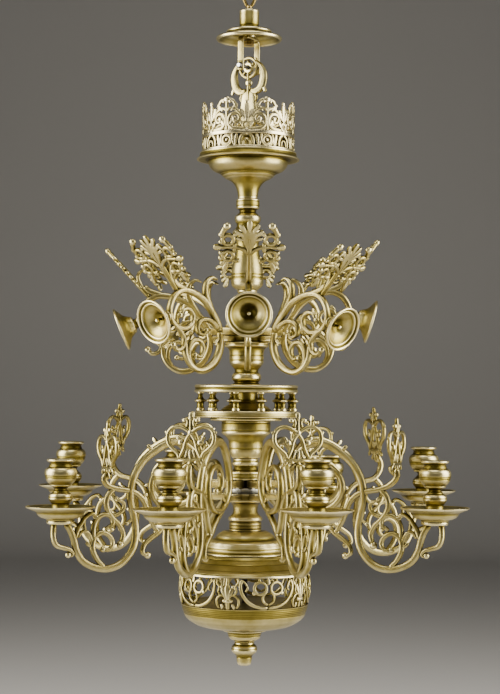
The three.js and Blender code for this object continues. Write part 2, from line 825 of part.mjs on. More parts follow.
// A candle arm in the XZ plane, measured from the lower hub's top on the rod.
function candleArm({ lift, palmetteShift }) {
  const seat = -panSeatDrop - seatGap;
  const reached = (points) =>
    stretched(points, lowerLugReach, drawnPanCircle, panCircleRadius, panFootRadius);
  const main = [
    [68, 12], [74, 34], [86, 54], [100, 66], [116, 69], [133, 64], [149, 56], [165, 44], [178, 27],
    [185, 8], [187, -13], [182, -36], [179, -58], [182, -80], [193, -97], [209, -108], [228, -111],
    [248, -106], [262, -97], [271, -82], [275, -66], [281, -52], [288, seat - 3],
  ];
  const innerVolute = [
    [68, 18], [72, -2], [85, -18], [103, -28], [123, -30], [141, -22], [153, -5], [153, 14], [143, 29],
    [125, 35], [108, 29], [102, 14], [108, 0], [120, -3],
  ];
  const lowerBranch = [
    [88, -20], [105, -33], [120, -42], [132, -51], [144, -63], [156, -71], [164, -82], [165, -92],
  ];
  const palmetteStem = [
    [222, 38], [229, 25], [223, 13], [211, 4], [195, 1], [180, -3], [168, -13], [162, -26], [156, -43],
    [146, -62],
  ];
  const stemBranch = [[212, 5], [222, -6], [224.5, -18], [216, -37], [204, -50], [198, -64], [201, -76]];
  const ringScroll = [
    [228, -110], [240, -96], [246, -81], [243, -66], [232, -59], [220, -64], [215, -75], [222, -84],
    [233, -82],
  ];
  const hookScroll = [[244, -70], [244, -53], [239, -40], [228, -33], [218, -36], [217, -47], [225, -53]];
  const leafCurl = [[217, -36], [207, -34], [198, -27], [198, -17], [208, -12]];
  const tie = [[246, -80], [250, -64], [260, -57], [270, -66]];
  const panCurl = [[273, -64], [268, -52], [258, -37], [247, -31], [239, -37]];
  const bracket = [[304.8, seat - 3], [305.5, -63], [300, -75], [281, -81.5], [276.5, -88], [283, -90]];
  const bars = [
    [main, 10.5, 9, 11],
    [innerVolute, 8.5, 6, 8],
    [lowerBranch, 8, 6, 3],
    [shiftedStart(palmetteStem, palmetteShift), 8.5, 8, 5],
    [stemBranch, 8, 6.5, 3],
    [ringScroll, 7.5, 6, 5],
    [hookScroll, 7.5, 6, 3],
    [leafCurl, 6, 5, 2],
    [tie, 6.5, 5, 2],
    [panCurl, 7, 5.5, 2],
    [bracket, 7.5, 6, 3],
  ];
  const studTop = seat + seatGap + panFloor + seatGap + studGrip;
  const [[palmetteReach], [tenonReach]] = reached([
    [lowerPalmetteRadius, 0],
    [lowerLugReach + lowerTenonOverhang, 0],
  ]);
  const [out, up] = palmetteShift;
  const bent = [
    ...bars.map(([points, start, end, steps]) => scroll(reached(points), start, end, armDepth, steps)),
    lowerPalmette(palmetteReach + out, up),
  ].map((geometry) => lifted(geometry, lowerLugReach, lift));
  const [seatX, seatZ] = liftedPoint(panSeat, lowerLugReach, lift);
  const rise = seatZ + panSeatDrop;
  const pieces = [
    ...bent,
    armBar(lugInnerRadius, lowerLugReach, seatGap, lugHeight),
    armBar(slotFloor(lowerHubRadius), tenonReach, lowerTenonTop - tenonHeight, tenonHeight),
    post(panFootRadius, seatThickness, seatX, 0, seat + rise - seatThickness, smallSides),
    post(studRadius, studTop - seat + 1, seatX, 0, seat + rise - 1, 6),
  ];
  return geometryOf(joined(pieces));
}

function dripPan() {
  return turned(
    [
      [studRadius + looseGap, 0],
      [panFootRadius, 0],
      [panFootRadius, panFootHeight],
      [0.58 * panRadius, 4.8],
      [0.69 * panRadius, 11],
      [panRadius, panHeight - 2],
      [panRadius, panHeight],
      [0.72 * panRadius, 14.4],
      [0.54 * panRadius, panFloor],
      [studRadius + looseGap, panFloor],
    ],
    10,
  );
}

function candleCup() {
  const stud = studRadius + looseGap;
  return turned(
    [
      [0, studGrip + 2],
      [stud, studGrip + 2],
      [stud, 0],
      [17, 0],
      [11, 8],
      [cupKnobRadius, 25],
      [cupWaistRadius, 37.5],
      [cupBulbRadius - 1, 49.5],
      [cupBulbRadius, 59],
      [cupNeckRadius, 70],
      [cupLipRadius, cupHeight - 1.5],
      [cupLipRadius, cupHeight],
      [candleRadius, cupHeight],
      [candleRadius, cupHeight - candleDepth],
      [0, cupHeight - candleDepth],
    ],
    8,
  );
}

// The upper palmette: a flat pierced leaf of lobes, each side a mirror of the other, leaning outward.
function upperPalmette([footX, footZ]) {
  const side = [
    [16, 70], [18, 61], [25, 67], [32, 84], [42, 58], [40, 48], [49, 43], [40, 38], [42, 28], [38, 3],
    [29, 14], [19, 21], [17, 35], [4, 28], [4, -8],
  ];
  const outline = [[0, 85], ...side, ...mirrored(side).toReversed()];
  const fanHole = [[6, 44], [18, 48], [12, 60]];
  const holesOneSide = [ring(30, 56, 6, 4), ring(30, 30, 6, 4), fanHole];
  const holes = holesOneSide.flatMap((hole) => [hole, mirrored(hole)]);
  const leaf = plate(outline, holes, upperPalmetteThickness);
  return leaf.rotateZ(Math.PI / 2).rotateY(radians(upperPalmetteLean)).translate(footX, 0, footZ);
}

// A horn arm in the XZ plane, measured from the upper hub's top on the rod.
function hornArm({ lift, palmetteShift }) {
  const reached = (points) => stretched(points, upperLugReach, drawnHornSeat, hornSeatRadius);
  const [out, up] = palmetteShift;
  const leafFoot = [150 + out, 68 + up];
  const main = [
    [57, 6], [63, 18], [72, 32], [84, 46], [99, 55], [116, 61], [132, 62], [146, 55], [154, 43],
    [156, 30], [153, 18], [143, 9], [126, 8], [113, 16], [113, 28], [121, 34], [133, 31],
  ];
  const tail = [[147, 12], [134, 2], [127, -10], [132, -21], [144, -22]];
  const leafStem = [[126, 62], [138, 65 + up / 2], [146, 67 + up], [152, 72 + up]];
  const hook = [leafFoot, [157 + out, 82 + up], [159 + out, 95 + up], [150 + out, 102 + up]];
  const curl = [[72, 32], [83, 53], [87, 68], [82, 78], [71, 82]];
  const lowerScroll = [
    [57, 4], [57, -13], [64, -31], [78, -46], [96, -52], [112, -48], [123, -36], [127, -22], [127, -10],
  ];
  const ringScroll = [[113, -47], [119, -32], [117, -17], [106, -8], [94, -11], [90, -22], [97, -33]];
  const innerVolute = [[60, 8], [69, 16], [81, 21], [93, 20], [101, 12], [99, 2], [89, 2]];
  const bars = [
    [main, 9.5, 6.5, 11],
    [tail, 7, 5.5, 3],
    [leafStem, 8.5, 8.5, 1],
    [hook, 7.5, 5.5, 2],
    [curl, 10, 3, 3],
    [lowerScroll, 9.5, 7, 6],
    [ringScroll, 7.5, 6, 4],
    [innerVolute, 8, 6, 4],
  ];
  const pin = new THREE.CylinderGeometry(hornPinRadius, hornPinRadius, hornPinGrip + 6, 6);
  pin.translate(0, hornPinGrip / 2 - 3, 0).rotateZ(-radians(90)).rotateY(radians(hornDroop));
  pin.translate(hornSeatRadius, 0, hornSeatHeight);
  const bent = [
    ...bars.map(([points, start, end, steps]) => scroll(reached(points), start, end, armDepth, steps)),
    upperPalmette(reached([leafFoot])[0]),
    pin,
  ].map((geometry) => lifted(geometry, upperLugReach, lift));
  const pieces = [
    ...bent,
    armBar(lugInnerRadius, upperLugReach, seatGap, lugHeight),
    armBar(slotFloor(upperHubRadius), upperLugReach, upperTenonTop - tenonHeight, tenonHeight),
  ];
  return geometryOf(joined(pieces));
}

// A horn, standing on its neck with its mouth up
function horn() {
  const pinHole = hornPinRadius + looseGap;
  const neckTop = hornPinGrip + 4;
  const profile = [
    [0, hornPinGrip + 1],
    [pinHole, hornPinGrip + 1],
    [pinHole, 0],
    [hornNeckRadius, 0],
    [hornNeckRadius + 1, 10],
    [0.5 * hornRadius, 20],
    [hornRadius, hornLength - 1.5],
    [hornRadius, hornLength],
    [hornRadius - 3, hornLength],
    [0.5 * hornRadius - 3, 21],
    [4, neckTop],
    [0, neckTop],
  ];
  return turned(profile, 8);
}

const cupGeometry = candleCup();
const panGeometry = dripPan();
const hornGeometry = horn();

// One set per place round the rod: the arm lies in the group's XZ plane.
function armGroup(azimuth, hubTop) {
  const group = new THREE.Group();
  group.position.z = hubTop;
  group.rotation.z = radians(azimuth - 90);
  chandelier.add(group);
  return group;
}

upperArms.forEach((arm, i) => {
  const group = armGroup(arm.azimuth, upperHubTop);
  addMesh(`horn_arm_${i + 1}`, hornArm(arm), brass, group);
  const bell = addMesh(`horn_${i + 1}`, hornGeometry, brass, group);
  const droop = radians(hornDroop - arm.lift);
  const [seatX, seatZ] = liftedPoint([hornSeatRadius, hornSeatHeight], upperLugReach, arm.lift);
  bell.rotation.y = Math.PI / 2 + droop;
  bell.position.set(seatX + seatGap * Math.cos(droop), 0, seatZ - seatGap * Math.sin(droop));
});

lowerArms.forEach((arm, i) => {
  const group = armGroup(arm.azimuth, lowerHubTop);
  const [seatX, seatZ] = liftedPoint(panSeat, lowerLugReach, arm.lift);
  addMesh(`candle_arm_${i + 1}`, candleArm(arm), brass, group);
  addMesh(`drip_pan_${i + 1}`, panGeometry, brass, group).position.set(seatX, 0, seatZ);
  const cup = addMesh(`candle_cup_${i + 1}`, cupGeometry, brass, group);
  cup.position.set(seatX, 0, seatZ + panFloor + seatGap);
});

export default chandelier;
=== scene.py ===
import json
import math
import bmesh
import bpy
import numpy as np
from mathutils import Matrix, Vector


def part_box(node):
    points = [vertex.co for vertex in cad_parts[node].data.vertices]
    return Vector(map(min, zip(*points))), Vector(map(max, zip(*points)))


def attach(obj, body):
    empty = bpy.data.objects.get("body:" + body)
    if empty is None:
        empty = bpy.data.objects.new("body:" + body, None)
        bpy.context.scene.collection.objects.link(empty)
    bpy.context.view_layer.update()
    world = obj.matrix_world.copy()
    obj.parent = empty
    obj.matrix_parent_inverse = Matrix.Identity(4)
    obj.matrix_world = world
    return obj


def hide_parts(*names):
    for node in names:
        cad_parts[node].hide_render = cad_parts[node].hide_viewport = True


# An aged brass chandelier for candles, with horns in its upper tier. Lengths are in millimetres until a piece
# is made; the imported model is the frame, and each new piece takes the place of one of its nodes.

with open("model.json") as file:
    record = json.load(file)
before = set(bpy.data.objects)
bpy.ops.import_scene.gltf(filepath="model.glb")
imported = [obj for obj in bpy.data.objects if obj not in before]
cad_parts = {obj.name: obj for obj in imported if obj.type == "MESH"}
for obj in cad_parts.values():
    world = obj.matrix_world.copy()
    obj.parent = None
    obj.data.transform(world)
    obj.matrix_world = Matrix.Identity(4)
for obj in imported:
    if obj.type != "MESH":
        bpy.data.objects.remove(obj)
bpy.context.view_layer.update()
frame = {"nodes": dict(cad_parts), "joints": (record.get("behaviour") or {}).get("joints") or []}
print("frame loaded,", len(frame["nodes"]), "nodes")

# The camera stands level with the gallery, about 2.6 m away; its roll gives the slight lean of the photo.
cameraView = {"place": (0.005, -2.625, -0.630), "pitchUp": 1.73, "roll": 0.45, "lens": 90.8}

cameraData = bpy.data.cameras.new("camera")
cameraData.lens = cameraView["lens"]
cameraData.sensor_width = 36
cameraData.clip_end = 50
camera = bpy.data.objects.new("camera", cameraData)
bpy.context.scene.collection.objects.link(camera)
camera.location = cameraView["place"]
pitch = Matrix.Rotation(math.radians(90 + cameraView["pitchUp"]), 4, "X")
roll = Matrix.Rotation(math.radians(cameraView["roll"]), 4, "Z")
camera.rotation_euler = (pitch @ roll).to_euler()
bpy.context.scene.camera = camera

# Each arm's azimuth in degrees from the front towards +X, the degrees it is bent up about its lug's end, and
# how far its palmette is bent out and up
upperTier = [(1, 4, (0, 7)), (47, -3.5, (0, 0)), (91, 4, (0, 0)), (135, 0, (0, 0)), (180, 4, (0, 4)),
             (225, 0, (0, 0)), (270, -2.5, (0, 0)), (315, 0, (0, 0))]
lowerTier = [(19, 1, (0, 0)), (67, -0.5, (14, -4)), (111, 3, (-6, 2)), (152, -1.8, (0, 0)), (203, 0, (0, 0)),
             (247, 4, (-2, 2)), (297, -0.8, (0, -12)), (340, 0.8, (0, 0))]


# A node's highest and lowest point in the frame.
def topOf(node):
    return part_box(node)[1][2] * 1000


def bottomOf(node):
    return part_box(node)[0][2] * 1000


upperHubTop, lowerHubTop = topOf("upper_hub"), topOf("lower_hub")
jointHeights = {joint["name"]: joint["pos_m"][2] * 1000 for joint in frame["joints"]}
boltHeight = jointHeights["hanger_swing"]
crownSeat = topOf("crown_dish")
shackleTurn = 58  # degrees between the bolt and +X
boreRadius = 4.4  # holes for the rod and for the eye's shank
seatGap = 0.2  # between pieces that rest on one another


# Lines, sections and small cast forms

# A smooth line through its points: a cubic whose slopes come from the neighbours, relaid at equal steps.
def smoothLine(points, step=1.6, closed=False):
    p = np.array(points, float)
    if closed:
        p = np.vstack([p[-2:], p, p[:3]])
    knots = np.r_[0, np.cumsum(np.linalg.norm(np.diff(p, axis=0), axis=1) ** 0.5)]
    slopes = np.gradient(p, knots, axis=0)
    first, last = (knots[2], knots[-3]) if closed else (knots[0], knots[-1])
    u = np.linspace(first, last, 24 * len(p))
    i = np.clip(np.searchsorted(knots, u, side="right") - 1, 0, len(p) - 2)
    h = (knots[i + 1] - knots[i])[:, None]
    s = (u - knots[i])[:, None] / h
    dense = (2 * s**3 - 3 * s**2 + 1) * p[i] + (s**3 - 2 * s**2 + s) * h * slopes[i]
    dense += (3 * s**2 - 2 * s**3) * p[i + 1] + (s**3 - s**2) * h * slopes[i + 1]
    lengths = np.r_[0, np.cumsum(np.linalg.norm(np.diff(dense, axis=0), axis=1))]
    at = np.linspace(0, lengths[-1], max(4, int(round(lengths[-1] / step)) + 1))
    return np.stack([np.interp(at, lengths, dense[:, k]) for k in range(p.shape[1])], axis=1)


# Quads between neighbouring rows and columns of a grid of points; the columns run round, and a closed grid
# joins its last row to its first too.
def gridFaces(rows, columns, closed=False):
    i, j = np.meshgrid(np.arange(rows if closed else rows - 1), np.arange(columns), indexing="ij")
    i2, j2 = (i + 1) % rows, (j + 1) % columns
    corners = [i * columns + j, i2 * columns + j, i2 * columns + j2, i * columns + j2]
    return np.stack(corners, axis=-1).reshape(-1, 4)


# The two end faces of such a grid.
def endFaces(rows, columns):
    return [list(range(columns)), list(range((rows - 1) * columns, rows * columns))]


# A rounded bar section: a superellipse, from round (power 2) towards square-edged (power 4 or more).
def section(power, count):
    turn = (np.arange(count) + 0.5) * 2 * np.pi / count
    c, s = np.cos(turn), np.sin(turn)
    return np.stack([np.sign(c) * np.abs(c) ** (2 / power), np.sign(s) * np.abs(s) ** (2 / power)], axis=1)


# A bar: the section carried along a line in its plane, with widths given from end to end and rounded tips.
def bar(points, widths, depth, power=2.4, count=14, step=2.0, closed=False):
    line = smoothLine(points, step, closed)
    line = line[:-1] if closed else line
    n = len(line)
    along = np.roll(line, -1, 0) - np.roll(line, 1, 0) if closed else np.gradient(line, axis=0)
    along /= np.linalg.norm(along, axis=1)[:, None]
    aside = np.stack([-along[:, 1], along[:, 0]], axis=1)
    share = np.linspace(0, 1, n)
    half = np.interp(share, np.linspace(0, 1, len(widths)), widths) / 2
    patinaAndPaintedShade = np.full(n, depth / 2.0)
    if not closed:
        spacing = np.linalg.norm(line[1] - line[0])
        reach = np.minimum(share, 1 - share) * spacing * (n - 1)
        draw = np.sqrt(np.clip(1 - (1 - np.clip(reach / half, 0, 1)) ** 2, 0.03, 1))
        half, patinaAndPaintedShade = half * draw, patinaAndPaintedShade * draw
    shape = section(power, count)
    inPlane = line[:, None, :] + aside[:, None, :] * (shape[None, :, 0] * half[:, None])[:, :, None]
    across = shape[None, :, 1] * patinaAndPaintedShade[:, None]
    verts = np.concatenate([inPlane, across[:, :, None]], axis=2).reshape(-1, 3)
    wear = np.tile(0.28 + 0.22 * np.abs(shape[:, 1]) + 0.3 * np.abs(shape[:, 0] * shape[:, 1]), n)
    return verts, gridFaces(n, count, closed), [] if closed else endFaces(n, count), wear


# A bead: a ball stretched to three radii, from its two angles.
def bead(centre, radii, rows=9, columns=14):
    phi = (np.arange(1, rows) * np.pi / rows)[:, None]
    theta = (np.arange(columns) * 2 * np.pi / columns)[None, :]
    axes = [np.sin(phi) * np.cos(theta), np.sin(phi) * np.sin(theta), np.cos(phi) + 0 * theta]
    ball = np.stack(axes, axis=-1).reshape(-1, 3)
    wear = 0.55 + 0.35 * np.abs(ball[:, 2])
    placed = ball * np.array(radii) + np.r_[centre, 0]
    return placed, gridFaces(rows - 1, columns), endFaces(rows - 1, columns), wear


# A petal: an oval drawn out from root to tip, fuller towards the tip, with a furrow down its middle.
def petal(root, tip, width, depth, rows=14, columns=16):
    root, tip = np.array(root, float), np.array(tip, float)
    along = (tip - root) / np.linalg.norm(tip - root)
    aside = np.array([-along[1], along[0]])
    t = ((1 - np.cos(np.arange(1, rows) * np.pi / rows)) / 2)[:, None]
    theta = (np.arange(columns) * 2 * np.pi / columns)[None, :]
    swell = 2 * np.sqrt(t * (1 - t)) * (0.5 + 0.65 * t)
    u, v = np.cos(theta) * swell, np.sin(theta) * np.sqrt(2 * np.sqrt(t * (1 - t)))
    dip = 1 - 0.35 * np.exp(-((np.cos(theta) / 0.4) ** 2)) * np.sqrt(t)
    flat = root + along * (t * np.linalg.norm(tip - root) + 0 * theta)[..., None]
    flat = flat + aside * (u * width / 2)[..., None]
    verts = np.concatenate([flat, (v * depth / 2 * dip)[..., None]], axis=-1).reshape(-1, 3)
    wear = (0.75 * dip * np.abs(np.sin(theta)) + 0.2 + 0 * t).reshape(-1)
    return verts, gridFaces(rows - 1, columns), endFaces(rows - 1, columns), wear


# A flat ring in the plane.
def loop(centre, radius, width, depth, power=3.0, count=12):
    turn = np.arange(14) * 2 * np.pi / 14
    circle = np.array(centre) + radius * np.stack([np.cos(turn), np.sin(turn)], axis=1)
    return bar(circle, [width, width], depth, power, count, 1.6, closed=True)


# Joins forms into one surface: points, faces, wear and, for turned work, the distance along the outline.
def gather(forms):
    verts, faces, wear, along, start = [], [], [], [], 0
    for form in forms:
        v, quads, ends, w = form[:4]
        verts.append(v)
        faces += (quads + start).tolist() + [[q + start for q in end] for end in ends]
        wear.append(w)
        along.append(form[4] if len(form) > 4 else np.zeros(len(v)))
        start += len(v)
    return np.vstack(verts), faces, np.concatenate(wear), np.concatenate(along)


# Bends a form up about the lug's end: a' = lug + (a - lug) cos t - b sin t, b' = (a - lug) sin t + b cos t.
def bent(form, lug, lift):
    a, across, b = form[0].T
    c, s = math.cos(math.radians(lift)), math.sin(math.radians(lift))
    return (np.stack([lug + (a - lug) * c - b * s, across, (a - lug) * s + b * c], axis=1), *form[1:])


# The same for a point of the arm's plane.
def bentPoint(point, lug, lift):
    placed = bent((np.array([[point[0], 0, point[1]]]),), lug, lift)[0][0]
    return placed[0], placed[2]


# Shifts a stem's first points with its palmette, by 1, 2/3 and 1/3 of the shift.
def shiftedStart(points, shift):
    shares = np.clip(1 - np.arange(len(points)) / 3, 0, None)[:, None]
    return np.array(points, float) + shares * np.array(shift)


# Puts a form's own axes onto others: order names where its first, second and third coordinate go.
def laid(form, order, offset=(0, 0, 0)):
    v = np.empty_like(form[0])
    for k, axis in enumerate(order):
        v[:, axis] = form[0][:, k]
    return (v + np.array(offset), *form[1:])


# The same forms and their mirror images, left and right of the plane's upright.
def bothSides(forms):
    out = []
    for form in forms:
        flipped = form[0] * np.array([-1, 1, 1])
        out += [form, (flipped, *form[1:])]
    return out


# Turned work

latheStep = 0.9  # between the points of a turned outline


# A turned outline, clockwise: outward on top, down the outside, in below and up the inside. After the first
# point, a plain point is reached by a straight line and a list of points by a curve through them. Where such
# runs meet, the corner is eased by the softness.
def outline(path, softness):
    step, last = latheStep, path[0]
    parts = [np.array([last], float)]
    for reached in path[1:]:
        run = [last, *reached] if isinstance(reached, list) else [last, reached]
        parts.append(smoothLine(run, step / 2)[1:])
        last = run[-1]
    p = np.vstack(parts)
    lengths = np.r_[0, np.cumsum(np.linalg.norm(np.diff(p, axis=0), axis=1))]
    at = np.linspace(0, lengths[-1], int(lengths[-1] / step) + 2)
    p = np.stack([np.interp(at, lengths, p[:, k]) for k in range(2)], axis=1)
    kernel = np.exp(-((np.arange(-3, 4) * step / softness) ** 2))
    padded = np.vstack([np.repeat(p[:1], 3, 0), p, np.repeat(p[-1:], 3, 0)])
    return np.stack([np.convolve(padded[:, k], kernel / kernel.sum(), "valid") for k in range(2)], axis=1)


# A turned form: the outline carried round the upright axis. Grooves are dips in the outline nearest to the
# (radius, height) given. Wear is 0.5 less twice the bend, so bulges are rubbed and hollows and grooves dark.
def lathe(path, sides=96, grooves=(), grooveDepth=0.7, centre=(0, 0), lift=0, softness=0.9):
    p = outline(path, softness)
    lengths = np.r_[0, np.cumsum(np.linalg.norm(np.diff(p, axis=0), axis=1))]
    along = np.gradient(p, axis=0)
    along /= np.linalg.norm(along, axis=1)[:, None] + 1e-9
    dip = np.zeros(len(p))
    for radius, height in grooves:
        nearest = np.argmin((p[:, 0] - radius) ** 2 + (p[:, 1] - height) ** 2)
        dip += np.exp(-(((lengths - lengths[nearest]) / 0.95) ** 2))
    dip = np.clip(dip, 0, 1)
    p = p + np.stack([along[:, 1], -along[:, 0]], axis=1) * (dip * grooveDepth)[:, None]
    p[:, 0] = np.maximum(p[:, 0], 0)
    bend = np.gradient(np.unwrap(np.arctan2(along[:, 1], along[:, 0]))) / latheStep
    kernel = np.ones(5) / 5
    bend = np.convolve(np.pad(bend, 2, mode="edge"), kernel, "valid")
    wear = np.clip(0.5 - 2 * bend, 0.15, 1) * (1 - 0.85 * dip)
    turn = np.arange(sides) * 2 * np.pi / sides
    x = p[:, 0][:, None] * np.cos(turn) + centre[0]
    y = p[:, 0][:, None] * np.sin(turn) + centre[1]
    z = p[:, 1][:, None] + lift + 0 * turn
    verts = np.stack([x, y, z], axis=-1).reshape(-1, 3)
    wear, lengths = np.repeat(wear, sides), np.repeat(lengths, sides)
    return verts, gridFaces(len(p), sides), endFaces(len(p), sides), wear, lengths


# Meshes

# Makes the mesh in metres: doubles merged, so that seams and poles close, and every face turned outward.
def makeMesh(name, forms, sharp=48):
    verts, faces, wear, along = gather(forms)
    mesh = bpy.data.meshes.new(name)
    mesh.from_pydata((verts / 1000).tolist(), [], faces)
    mesh.attributes.new("wear", "FLOAT", "POINT").data.foreach_set("value", wear.astype(np.float32))
    mesh.attributes.new("along", "FLOAT", "POINT").data.foreach_set("value", along.astype(np.float32))
    work = bmesh.new()
    work.from_mesh(mesh)
    bmesh.ops.remove_doubles(work, verts=work.verts, dist=2e-6)
    bmesh.ops.dissolve_degenerate(work, edges=work.edges, dist=1e-7)
    bmesh.ops.recalc_face_normals(work, faces=work.faces)
    work.to_mesh(mesh)
    work.free()
    mesh.shade_smooth()
    mesh.set_sharp_from_angle(angle=math.radians(sharp))
    return mesh


# Adds a piece: its mesh in place, riding on its body and given the material passed in; the node it stands for
# is hidden.
def addPiece(node, mesh, material, body="chandelier"):
    piece = bpy.data.objects.new(node + "_cast", mesh)
    bpy.context.scene.collection.objects.link(piece)
    mesh.materials.clear()
    mesh.materials.append(material)
    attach(piece, body)
    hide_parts(node)
    return piece


# A copy of a mesh turned to an azimuth about the stem and lifted to a height.
def turnedCopy(mesh, azimuth, height, local=Matrix.Identity(4)):
    copy = mesh.copy()
    turn = Matrix.Rotation(math.radians(azimuth - 90), 4, "Z")
    copy.transform(Matrix.Translation((0, 0, height / 1000)) @ turn @ local)
    return copy


# Materials

# sRGB hex to linear colour
def linear(hexColour):
    channels = [int(hexColour[k : k + 2], 16) / 255 for k in (0, 2, 4)]
    return [c / 12.92 if c <= 0.04045 else ((c + 0.055) / 1.055) ** 2.4 for c in channels] + [1]


# Adds a node with its settings and links. A setting's name is a property or an input, and a link's value is
# (node, output name).
def addNode(tree, kind, settings=(), links=()):
    node = tree.nodes.new(kind)
    for key, value in dict(settings).items():
        if isinstance(key, str) and hasattr(node, key):
            setattr(node, key, value)
        else:
            node.inputs[key].default_value = value
    for key, (source, output) in dict(links).items():
        tree.links.new(source.outputs[output], node.inputs[key])
    return node


# Cast and turned brass that has been handled and left to darken: hollows hold brown patina, the body is an
# olive gold and rubbed edges go to a pale straw. Colour and roughness follow one value: the wear, plus 0.55
# times (cloud - 0.5), plus 0.75 times the openness, less 0.68. The openness term is painted shade: it darkens
# the colour towards the hollow colour in creases and between parts, on top of the patina.
def agedBrass(name, hollowPatinaAndShade, body, rubbed, roughness, grain, grainHeight, lines=0.0, blotch=22.0):
    material = bpy.data.materials.new(name)
    material.use_nodes = True
    tree = material.node_tree
    tree.nodes.clear()
    place = addNode(tree, "ShaderNodeTexCoord")
    wear = addNode(tree, "ShaderNodeAttribute", {"attribute_name": "wear"})
    along = addNode(tree, "ShaderNodeAttribute", {"attribute_name": "along"})
    cloudSettings = {"Scale": 1000 / blotch, "Detail": 4, "Roughness": 0.6}
    cloudy = addNode(tree, "ShaderNodeTexNoise", cloudSettings, {"Vector": (place, "Object")})
    grainSettings = {"Scale": 1000 / grain, "Detail": 3, "Roughness": 0.55}
    grainy = addNode(tree, "ShaderNodeTexNoise", grainSettings, {"Vector": (place, "Object")})
    lineSettings = {"noise_dimensions": "1D", "Scale": 0.55, "Detail": 3, "Roughness": 0.7}
    turnedLines = addNode(tree, "ShaderNodeTexNoise", lineSettings, {"W": (along, "Fac")})
    # Ambient occlusion: painted shade in creases and where parts crowd together, added to the patina of the
    # hollows
    patinaAndShadeOcclusion = addNode(tree, "ShaderNodeAmbientOcclusion", {"samples": 6, "Distance": 0.016})
    scaled = {"operation": "MULTIPLY_ADD", 1: 0.55, 2: -0.275}
    shifted = addNode(tree, "ShaderNodeMath", scaled, {0: (cloudy, "Fac")})
    uneven = addNode(tree, "ShaderNodeMath", {"operation": "ADD"}, {0: (wear, "Fac"), 1: (shifted, "Value")})
    scaled = {"operation": "MULTIPLY_ADD", 1: 0.75, 2: -0.68}
    patinaAndPaintedShade = addNode(tree, "ShaderNodeMath", scaled, {0: (patinaAndShadeOcclusion, "AO")})
    total = addNode(tree, "ShaderNodeMath", {"operation": "ADD"}, {0: (uneven, "Value"), 1: (patinaAndPaintedShade, "Value")})
    colour = addNode(tree, "ShaderNodeValToRGB", {}, {"Fac": (total, "Value")})
    ramp = colour.color_ramp
    ramp.elements[0].position, ramp.elements[0].color = 0.02, linear(hollowPatinaAndShade)
    ramp.elements[1].position, ramp.elements[1].color = 0.95, linear(rubbed)
    middle = ramp.elements.new(0.45)
    middle.color = linear(body)
    spread = {"From Min": 0.1, "From Max": 0.9, "To Min": roughness[1], "To Max": roughness[0]}
    rough = addNode(tree, "ShaderNodeMapRange", spread, {"Value": (total, "Value")})
    scaled = {"operation": "MULTIPLY_ADD", 1: lines}
    relief = addNode(tree, "ShaderNodeMath", scaled, {0: (turnedLines, "Fac"), 2: (grainy, "Fac")})
    raised = {"Strength": 1.0, "Distance": grainHeight / 1000}
    bump = addNode(tree, "ShaderNodeBump", raised, {"Height": (relief, "Value")})
    links = {"Base Color": (colour, "Color"), "Roughness": (rough, "Result"), "Normal": (bump, "Normal")}
    shader = addNode(tree, "ShaderNodeBsdfPrincipled", {"Metallic": 1.0}, links)
    addNode(tree, "ShaderNodeOutputMaterial", {}, {"Surface": (shader, "BSDF")})
    return material


# Cast brass: sand-cast and hand-filed; the eye gets pale straw edges over olive gold and a faint grain
castBrass = agedBrass("cast_brass", "3a300e", "8f803c", "e9dca2", (0.27, 0.42), 1.6, 0.07)
# Turned brass: spun on the lathe; a satin olive gold with fine rings left by the tool
turnedBrass = agedBrass("turned_brass", "41360e", "96873c", "ebdda4", (0.3, 0.42), 2.2, 0.05, 1.4, 34)
# Pierced brass of the crown: the eye gets the palest straw, with dark gaps behind it
piercedBrass = agedBrass("pierced_brass", "463b14", "a59658", "eee0ae", (0.26, 0.4), 1.4, 0.06)
# Darkened brass: the wire eye, hardly polished
darkBrass = agedBrass("darkened_brass", "241c0c", "6f5d2c", "b39c60", (0.28, 0.46), 1.4, 0.07)
# Brass of the lower hub: the same metal as the stem in a darker copy, painted shade for the shadowed zone of
# the arms' slots
shadedHubBrass = agedBrass("hub_brass_painted_shade", "2e2610", "85763a", "d0c084", (0.32, 0.46), 1.8, 0.06, 1.2)
# Tinned brass of the ring round the lower hub: a cool silver grey
tinnedBrass = agedBrass("tinned_brass", "4a483f", "a5a294", "e2e0d4", (0.3, 0.42), 1.8, 0.05, 1.2)
# Steel of the bolt: bright grey, a little dull
boltSteel = agedBrass("bolt_steel", "3b3934", "95918a", "dedcd6", (0.24, 0.42), 1.2, 0.06)
# Iron of the rod: dark, slightly rusted
darkIron = agedBrass("wrought_iron", "1c1815", "5b554c", "a9a49a", (0.32, 0.55), 1.2, 0.12)
print("materials made")

# Suspension

wireEye = {
    "wire": 5,
    "line": [(0, 2.5), (9.4, -1.5), (12.5, -10), (9, -23.75), (1.75, -37.5), (-1.75, -37.5), (-9, -23.75),
             (-12.5, -10), (-9.4, -1.5)],
    "shankRadius": 4,
}


# The eye: a round wire carried along a closed drop, a turned shank and a six-sided nut.
def hangingEye():
    wire = bar(wireEye["line"], [wireEye["wire"]] * 2, wireEye["wire"], 2.0, 14, 1.2, closed=True)
    r = wireEye["shankRadius"]
    bottom = bottomOf("hanging_eye")
    shank = lathe([(0, -36), (r, -36), (r, bottom + 0.6), (r - 0.8, bottom), (0, bottom)], 24, softness=0.5)
    nut = lathe([(r, bottom + 8), (6.2, bottom + 8), (7, bottom + 7), (7, bottom + 1.2), (6.2, bottom + 0.3),
                 (r, bottom + 0.3)], 6, softness=0.4)
    return makeMesh("hanging_eye", [laid(wire, (0, 2, 1)), shank, nut], 40)


addPiece("hanging_eye", hangingEye(), darkBrass, "suspension")

